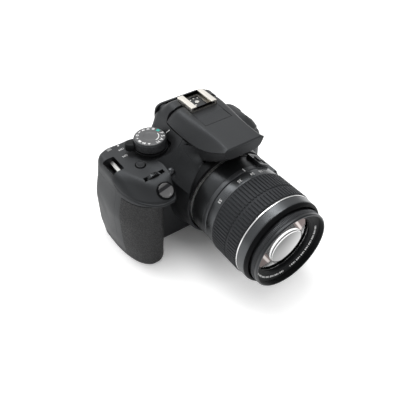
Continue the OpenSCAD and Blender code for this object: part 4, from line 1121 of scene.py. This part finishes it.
# %% [markdown]
# ## Controls on top
# The dial, the lever, the wheel and the buttons are turned or extruded from small profiles. The dial has a knurled
# skirt, a pale grained top and a dished middle.

# %% Mode dial
DIAL_AXIS, DIAL_RIBS = (DIAL_AT, UP, ACROSS), 72
skirt = [(0.6, 2.3), (DIAL_R - 0.3, 2.3), (DIAL_R, 2.6), (DIAL_R, 7.9), (DIAL_R - 0.25, 8.5), (DIAL_R - 0.8, 9.15),
         (DIAL_R - 0.95, 8.8), (0.6, 8.8)]
dial = turned("dial_skirt", skirt, DIAL_RIBS * 8, 0.12, DIAL_AXIS, lambda a, r, h:
              r - 0.3 * pulse(DIAL_RIBS, a, 0.4) * (r > DIAL_R - 0.2) * inside(h, [(2.9, 7.8)]))
shaft = disc("dial_shaft", [(0, -8), (3.4, -8), (3.4, 2.6), (0, 2.6)], DIAL_AT, UP)
finish(united([dial, shaft]), "mode_dial", "dial_skirt", ["mode_dial"])
cap = disc("dial_cap", [(0, 8.9), (DIAL_R - 0.85, 8.9), (DIAL_R - 0.85, 9.22), (DIAL_R - 1.0, DIAL_TOP),
                        (5.2, DIAL_TOP), (4.8, 9.22), (4.5, 9.1), (2.0, 9.04), (0.05, 9.02), (0, 9.02)],
           DIAL_AT, UP, sides=144)
finish(cap, "mode_dial", "dial_top")

sign("dial_green", [rect(-1.25, -1.15, 1.25, 1.15, 0.3)], dial_place(19, 8.8), "mode_dial", "teal_mark")
for text, angle in (("P", -7), ("S", -32), ("A", -57), ("M", -82)):
    words("dial_" + text, text, 3.5, dial_place(angle, 8.9), "mode_dial", bold=0.06)
sign("dial_arc", [arc(5.9, 6.6, -80, 2)],
     lambda u, v, d: (DIAL_AT[0] + u, DIAL_AT[1] + v, DIAL_AT[2] + DIAL_TOP + d), "mode_dial")
pictures = [[arc(0.35, 1.05, -160, 160, 20)], [rect(-1.1, -0.8, 1.1, 0.0, 0.2), arc(0.0, 0.7, 20, 160, 8)],
            [[(-1.3, -0.8), (-0.4, 0.9), (0.2, -0.1), (0.6, 0.4), (1.3, -0.8)]],
            [rect(-1.1, -0.35, 1.1, 0.35, 0.1)], [arc(0.45, 1.0, 10, 350, 22)],
            [[(-0.4, -1), (0.9, 0.2), (0.1, 0.2), (0.5, 1.1), (-0.9, -0.1), (-0.1, -0.1)]],
            [rect(-1.2, -0.8, 1.2, 0.8, 0.3)], [rect(-1.2, -0.9, -0.2, 0.9, 0.2), rect(0.1, -0.6, 1.2, 0.6, 0.2)],
            [[(-1.1, -0.7), (1.1, -0.7), (0.0, 1.1)]]]
for k, shapes in enumerate(pictures):
    sign("dial_picture_%d" % k, shapes, dial_place(44 + 24 * k, 8.9), "mode_dial")
print("dial made, with", len(pictures), "pictures")

# %% Power lever and marks on the deck
LEVER_TURN, TAB_MIDDLE = 155, (13.5, 0)


def lever_place(u, v, d):
    """u outward along the lever and v across it, in the plane of the deck."""
    c, s = cos_sin(LEVER_TURN)
    return DIAL_AT[0] + u * c - v * s, DIAL_AT[1] + u * s + v * c, DIAL_AT[2] + d


base = turned("lever", [(3.8, 0.5), (12.7, 0.5), (12.7, 1.9), (3.8, 1.9)], 144, 0.15, DIAL_AXIS)
a = np.linspace(-1.25, 1.25, 24)
outline = np.concatenate([[(11.6, -4.4)], np.stack([14.4 + 3.9 * np.cos(a), 3.9 * np.sin(a)], -1), [(11.6, 4.4)]])
steps = [((outline - TAB_MIDDLE) * k + TAB_MIDDLE, h)
         for k, h in ((1, 0.5), (1, 4.4), (0.97, 4.95), (0.9, 5.3), (0.78, 5.5))]
tab = cut(loft("tab", np.stack([np.stack(lever_place(*o.T, np.full(len(o), h)), -1) for o, h in steps])),
          rod("dial_room", DIAL_AT, UP, DIAL_R + 0.4, 1.9, 9, 96))
finish(united([base, tab]), "power_switch", "mount_black", ["power_switch"])
words("label_off", "OFF", 2.6, deck_place(-56.6, 26.3, 8), "body")
words("label_on", "ON", 2.6, deck_place(-57.8, 18.2, 10), "body")
sign("dial_index", [rect(-1.5, -0.17, 1.5, 0.17)], deck_place(-25.3, 12.2, 120, 0.2), "body")
sign("screen_sign", [rect(-1.7, v - 0.3, 1.7, v + 0.3) for v in (-0.9, 0, 0.9)], deck_place(-63.8, 30.6, 8), "body",
     "grey_mark")
sign("screen_dot", [arc(0, 0.7, 0, 340, 18)], deck_place(-56.2, 31.2), "body")
print("lever and deck marks made")

# %% Shutter button, wheel, flash button
def dished(name, at, along, r, low, high, dish, edge):
    """Round button: straight sides, a rounded rim and a face that sinks by dish towards the middle."""
    face = [((r - edge) * k + 0.02, high - dish * (1 - k * k)) for k in np.linspace(1, 0, 10)]
    corner = [(r - edge * (1 - math.cos(q)), high - edge * (1 - math.sin(q))) for q in np.linspace(0, 1.3, 5)]
    return disc(name, [(0, low), (r, low)] + corner + face + [(0, 0)], at, along)


def wheel(name, at, r, low, high, soft, ribs, places, deep, wide, bevel):
    """Ribbed wheel on an axis that points forward; ribs are grooves of the given depth and share of the pitch."""
    profile = [(0.5, low), (r - bevel, low), (r, low + bevel), (r, high - bevel), (r - bevel, high), (0.5, high)]
    return turned(name, profile, places, soft, (at, FORWARD, ACROSS),
                  lambda a, q, h: q - deep * pulse(ribs, a, wide) * (q > r - bevel - 0.05))


finish(dished("shutter_cap", SHUTTER_AT, SHUTTER_UP, SHUTTER_R, -0.8, 1.55, 0.65, 0.45), "shutter_button",
       "shutter_painted_reflection", ["shutter_button"])
# The collar round the button is painted shade: a black ring standing for the shaded gap between button and well.
collar = turned("shutter_gap_shade", [(SHUTTER_R + r, h) for r, h in (
    (0.12, -2), (1.15, -2), (1.15, 0.25), (0.7, 0.5), (0.12, 0.3))], 96, 0.12, (SHUTTER_AT, SHUTTER_UP, ACROSS))
finish(collar, "body", "painted_shade_black")
main_dial = united([wheel("wheel", WHEEL_AT, WHEEL_R, -1.5, 1.5, 0.1, 28, 360, 0.45, 0.5, 0.25),
                    rod("axle", WHEEL_AT, FORWARD, 1.1, -3.3, 3.3)])
finish(main_dial, "main_dial", "gloss_black", ["main_dial"])
finish(dished("flash_key", FLASH_BUTTON_AT, UP, 3.2, -6, 0.8, 0.15, 0.4), "flash_button",
       "control_plastic", ["flash_button"])
finish(dished("release_cap", RELEASE_AT, FORWARD, 5, -7, 2.2, 0.5, 0.7), "lens_release",
       "control_plastic", ["lens_release_button"])
lamp = disc("lamp_lens", [(0, -1), (2.5, -1), (2.5, 0.3), (2.3, 0.75), (1.8, 1.1), (1.0, 1.35), (0.02, 1.4), (0, 1.4)],
            LAMP_AT, FORWARD)
finish(lamp, "body", "lamp_milk", ["red_eye_lamp"])
print("buttons made")

# %% Strap bars and hot shoe
for side, (at, tilt) in LUGS.items():
    bar = tilted_box("strap_bar_" + side, at, tilt, (-1.2, -7.55, -1.4), (1.2, 7.55, 1.2))
    finish(bar, "body", "chrome", ["strap_lugs"])

half, lip, front = SHOE_SLOT / 2, 6.25, SHOE_Y[0]
right = [(half + 1.4, 0), (half + 1.4, 3.6), (lip, 3.6), (lip, 2.7), (half, 2.7), (half, 0.7)]
section = [(-half - 1.4, 0)] + right + [(-u, v) for u, v in right[:0:-1]]
shoe = united([extruded("shoe", rounded(section, 0.3), *SHOE_Y, lambda u, v, d: (u, d, SHOE_BASE + v)),
               box("stop", (-half, front, SHOE_BASE + 0.5), (half, front + 1, SHOE_BASE + 1.4))])
cut(shoe, box("window", (-5, front + 3, SHOE_BASE - 1), (5, front + 16, SHOE_BASE + 2)))
finish(shoe, "body", "shoe_steel", ["hot_shoe"])
plate = box("shoe_plate", (-4.7, front + 3.3, SHOE_BASE + 0.02), (4.7, front + 15.7, SHOE_BASE + 0.62))
finish(plate, "body", "gloss_black", ["shoe_contacts"])
for x, y, r in ((0, 9, 1.6), (-3, 13, 0.7), (3, 13, 0.7), (0, 13.6, 0.7), (-3, 5.6, 0.7)):
    pin = dished("contact", (x, front + y, SHOE_BASE + 0.6), UP, r, -0.3, 0.35, -0.06, 0.12)
    finish(pin, "body", "contact_steel", ["shoe_contacts"])
print("shoe made")

# %% [markdown]
# ## Back, base and side
# The eyecup is a loft of rounded rectangles with a flared window. The screen is a dark pane with a slightly paler
# picture area, and the keys carry small plain signs.

# %% Eyecup and diopter wheel
def panes(name, rows):
    """Loft through upright rounded rectangles: half width, lower z, upper z, corner radius and y of each."""
    outlines = [(rect(-x, low, x, high, radius, 10), y) for x, low, high, radius, y in rows]
    return loft(name, np.stack([np.stack([o[:, 0], y + 0 * o[:, 0], o[:, 1]], -1) for o, y in outlines]))


def windowed(item):
    """Cuts the flared window of the finder through a piece."""
    return cut(item, panes("window", [(10.5, 69.2, 82.8, 3, 30), (10.5, 69.2, 82.8, 3, 33.2),
                                      (13, 67.8, 85.4, 4.4, 36), (14.4, 67, 87, 5, 38)]))


flange = panes("eyecup_flange", [(23.7, 63.5, 93.2, 8, 32.05), (23.7, 63.5, 93.2, 8, 33.1),
                                 (23.4, 63.8, 92.9, 7.8, 33.5)])
finish(windowed(flange), "body", "body_plastic", ["eyecup"])
eyecup = panes("eyecup_rubber", [
    (22.6, 64.5, 92.2, 7.7, 33.52), (22.4, 64.7, 92, 7.6, 34.1), (22, 65, 91.6, 7.4, 35),
    (21.9, 65.1, 91.5, 7.3, 36), (21.5, 65.5, 91.1, 7, 36.6), (20.8, 66.2, 90.4, 6.6, 36.8)])
finish(windowed(eyecup), "body", "soft_rubber", ["eyecup"])
knob = united([wheel("diopter_wheel", DIOPTER_AT, DIOPTER_R, 0, 4, 0.08, 28, 280, 0.35, 0.45, 0.2),
               rod("diopter_axle", DIOPTER_AT, FORWARD, 1.2, -0.2, 6.8)])
finish(knob, "diopter_knob", "control_plastic", ["diopter_knob"])
print("eyecup and diopter wheel made")

# %% Screen and keys
x0, z0, x1, z1 = SCREEN
screen = united([rear_plate("screen_pane", *SCREEN, REAR - 3, REAR + 0.2),
                 box("screen_back", (x0 - 1.2, REAR - 7, z0 - 1.2), (x1 + 0.8, REAR - 2.8, z1 + 1.2))])
finish(screen, "body", "screen_black", ["lcd_screen"])
sign("screen_picture", [rect(-28.2, -20.6, 28.2, 20.6, 0.4)], rear_place(9.4, 34, REAR + 0.21), "body", "screen_grey")


def turn(outline, degrees):
    c, s = cos_sin(degrees)
    return outline @ np.array([[c, s], [-s, c]])


arrow = np.array([(-0.9, -0.5), (0.9, -0.5), (0.0, 0.8)])
SIGNS = {"key_up": [arrow], "key_down": [turn(arrow, 180)], "key_left": [turn(arrow, 90)],
         "key_right": [turn(arrow, -90)], "playback_button": [turn(arrow * 1.3, -90)],
         "menu_button": [rect(-1.5, y - 0.2, 1.5, y + 0.2) for y in (-0.9, 0, 0.9)],
         "exposure_button": [rect(-1.2, -0.2, 1.2, 0.2)], "live_view_button": [arc(0.9, 1.25, 10, 350, 30)],
         "lock_button": [turn(rect(-1.2, -0.18, 1.2, 0.18), q) for q in (0, 60, 120)],
         "af_point_button": [rect(u - 0.35, v - 0.35, u + 0.35, v + 0.35) for u in (-1, 0, 1) for v in (-0.6, 0.6)]}
for name, (x, z, r) in KEYS.items():
    y = key_face(x, z)
    cap = dished(name + "_cap", (x, y, z), BACKWARD, r, -4.4, 1.1, 0.12, 0.4)
    finish(cap, name, "control_plastic", [name])
    if name in SIGNS:
        sign(name + "_sign", SIGNS[name], rear_place(x, z, y + 1.06), name)
words("set_word", "SET", 2.2, rear_place(-45, 33, REAR + 1.04), "set_button")
print("keys made:", len(KEYS))

# %% Battery door and side cover
door = united([extruded("door", rect(-72, -13.5, -53.8, 20.5, 0.6), 0.4, 2.4),
               rod("door_pin", DOOR_HINGE_AT, BACKWARD, 0.8, -18.6, 18.6)])
cut(door, *[box("notch", (-71, y, -1), (-70.4, y + 2, 0.7)) for y in range(-10, 15, 4)])
finish(door, "battery_door", "body_plastic", ["battery_door"])
side = extruded("side_rubber", rect(2.3, 18.3, 21.7, 53.7, 1.2), FAR_SIDE - 1.6, FAR_SIDE + 0.1,
                lambda u, v, d: (d, u, v))
finish(side, "terminal_cover", "soft_rubber", ["terminal_cover"])
print("door and side cover made")

# %% Solids shown as they are
SOLIDS = {"chrome": ["screws", "mount_flange", "flash_hinge_pin", "lens_bayonet"], "contact_steel": ["tripod_bush"],
          "inner_black": ["mirror_box", "shutter_frame", "focus_carrier"], "recess_black": ["shutter_blades"],
          "mirror_glass": ["reflex_mirror", "pentamirror"], "lamp_glass": ["focusing_screen", "flash_lamp"],
          "window_glass": ["eyepiece_lens"], "clear_glass": ["rear_element"],
          "sensor_board": ["image_sensor", "main_board"], "battery_shell": ["battery"],
          "control_plastic": ["af_switch", "stabilizer_switch"]}
for look, nodes in SOLIDS.items():
    for node in nodes:
        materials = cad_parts[node].data.materials
        materials.clear()
        materials.append(FINISHES[look])
print("solids dressed:", sum(map(len, SOLIDS.values())))

# %% [markdown]
# ## Floor, light and camera
# A pale floor takes the soft shadow, and a painted glow, rising with the distance from the object, whitens it further
# off, so the shade next to the object is partly painted. Seen straight or through glass the world is plain white, and a
# mirror finds it bright only behind the object. What lights the object is a dimmer sky and two large lamps. The camera
# stands where the photograph was taken from.

# %% Floor and world
corners = rect(-3000, -3000, 3000, 3000)
floor = mesh_object("floor", np.column_stack([corners, np.full(4, -0.02)]), [(0, 1, 2, 3)])
pale = Finish("floor_white", Roughness=0.9, Specular_IOR_Level=0.0, Emission_Strength=1.0)
# Painted light: the floor glows for the eye, mirrors and glass, not at all within 20 mm of a point under the object and
# up to 0.36 beyond 65 mm, leaving painted shade round the object.
far = pale.vector("DISTANCE", pale.coords(), (-0.015, -0.008, 0))
pale.set(Base_Color=pale.blend(pale.noise(8), (0.93, 0.93, 0.93, 1), (0.95, 0.95, 0.95, 1)),
         Emission_Color=pale.ramp(far, 0.02, 0.065, 0, 0.36) * pale.seen())
floor.data.materials.append(FINISHES["floor_white"])

world = bpy.data.worlds.new("studio")
bpy.context.scene.world = world
world.use_nodes = True
sky = Nodes(world.node_tree)
way = sky.vector("DOT_PRODUCT", sky.node("TexCoord", out="Generated"), (-0.05, 0.97, 0.2))
in_mirrors = sky.node("LightPath", out="Is Glossy Ray") * sky.ramp(way, 0.3, 0.66, -0.55, 0.05)
back = world.node_tree.nodes["Background"].inputs
back["Color"].default_value = (1, 1, 1, 1)
link(world.node_tree, sky.seen() * 0.3 + in_mirrors + 0.7, back["Strength"])
print("floor and world made")

# %% Lamps and camera
def looking(at, to, roll=0.0):
    """Matrix of a thing at one point whose -Z looks at another, rolled in degrees."""
    at, to = np.array(at, float), np.array(to, float)
    back = (at - to) / np.linalg.norm(at - to)
    right = np.cross(UP, back)
    right = right / np.linalg.norm(right)
    up = np.cross(back, right)
    c, s = cos_sin(roll)
    columns = np.stack([right * c + up * s, up * c - right * s, back, at * MM], 1)
    return [tuple(row) for row in np.vstack([columns, [0, 0, 0, 1]]).T]


# name, place and width in mm, power in watts; both lamps are square and aim at the middle of the part
for name, at, size, power in (("key_lamp", (250, 350, 1700), 900, 12.0), ("back_lamp", (-300, 900, 1250), 600, 5.0)):
    light = bpy.data.lights.new(name, "AREA")
    light.shape, light.size, light.energy = "SQUARE", size * MM, power
    shown(name, light).matrix_world = looking(at, (-10, -20, 40))

AZIMUTH, ELEVATION, ROLL, DISTANCE = -36.621, 44.207, 1.318, 350.78
aim = np.array([-22.614, -34.161, 42.959])
(east, north), (level, rise) = cos_sin(AZIMUTH - 90), cos_sin(ELEVATION)
away = np.array([east * level, north * level, rise])
lens = bpy.data.cameras.new("camera")
lens.sensor_width, lens.lens, lens.clip_start, lens.clip_end = 36, 42.404, 0.01, 20
camera = shown("camera", lens)
camera.matrix_world = looking(aim + DISTANCE * away, aim, ROLL)
bpy.context.scene.camera = camera
bpy.context.scene.view_settings.view_transform = "Standard"
print("camera at", np.round(aim + DISTANCE * away, 1))
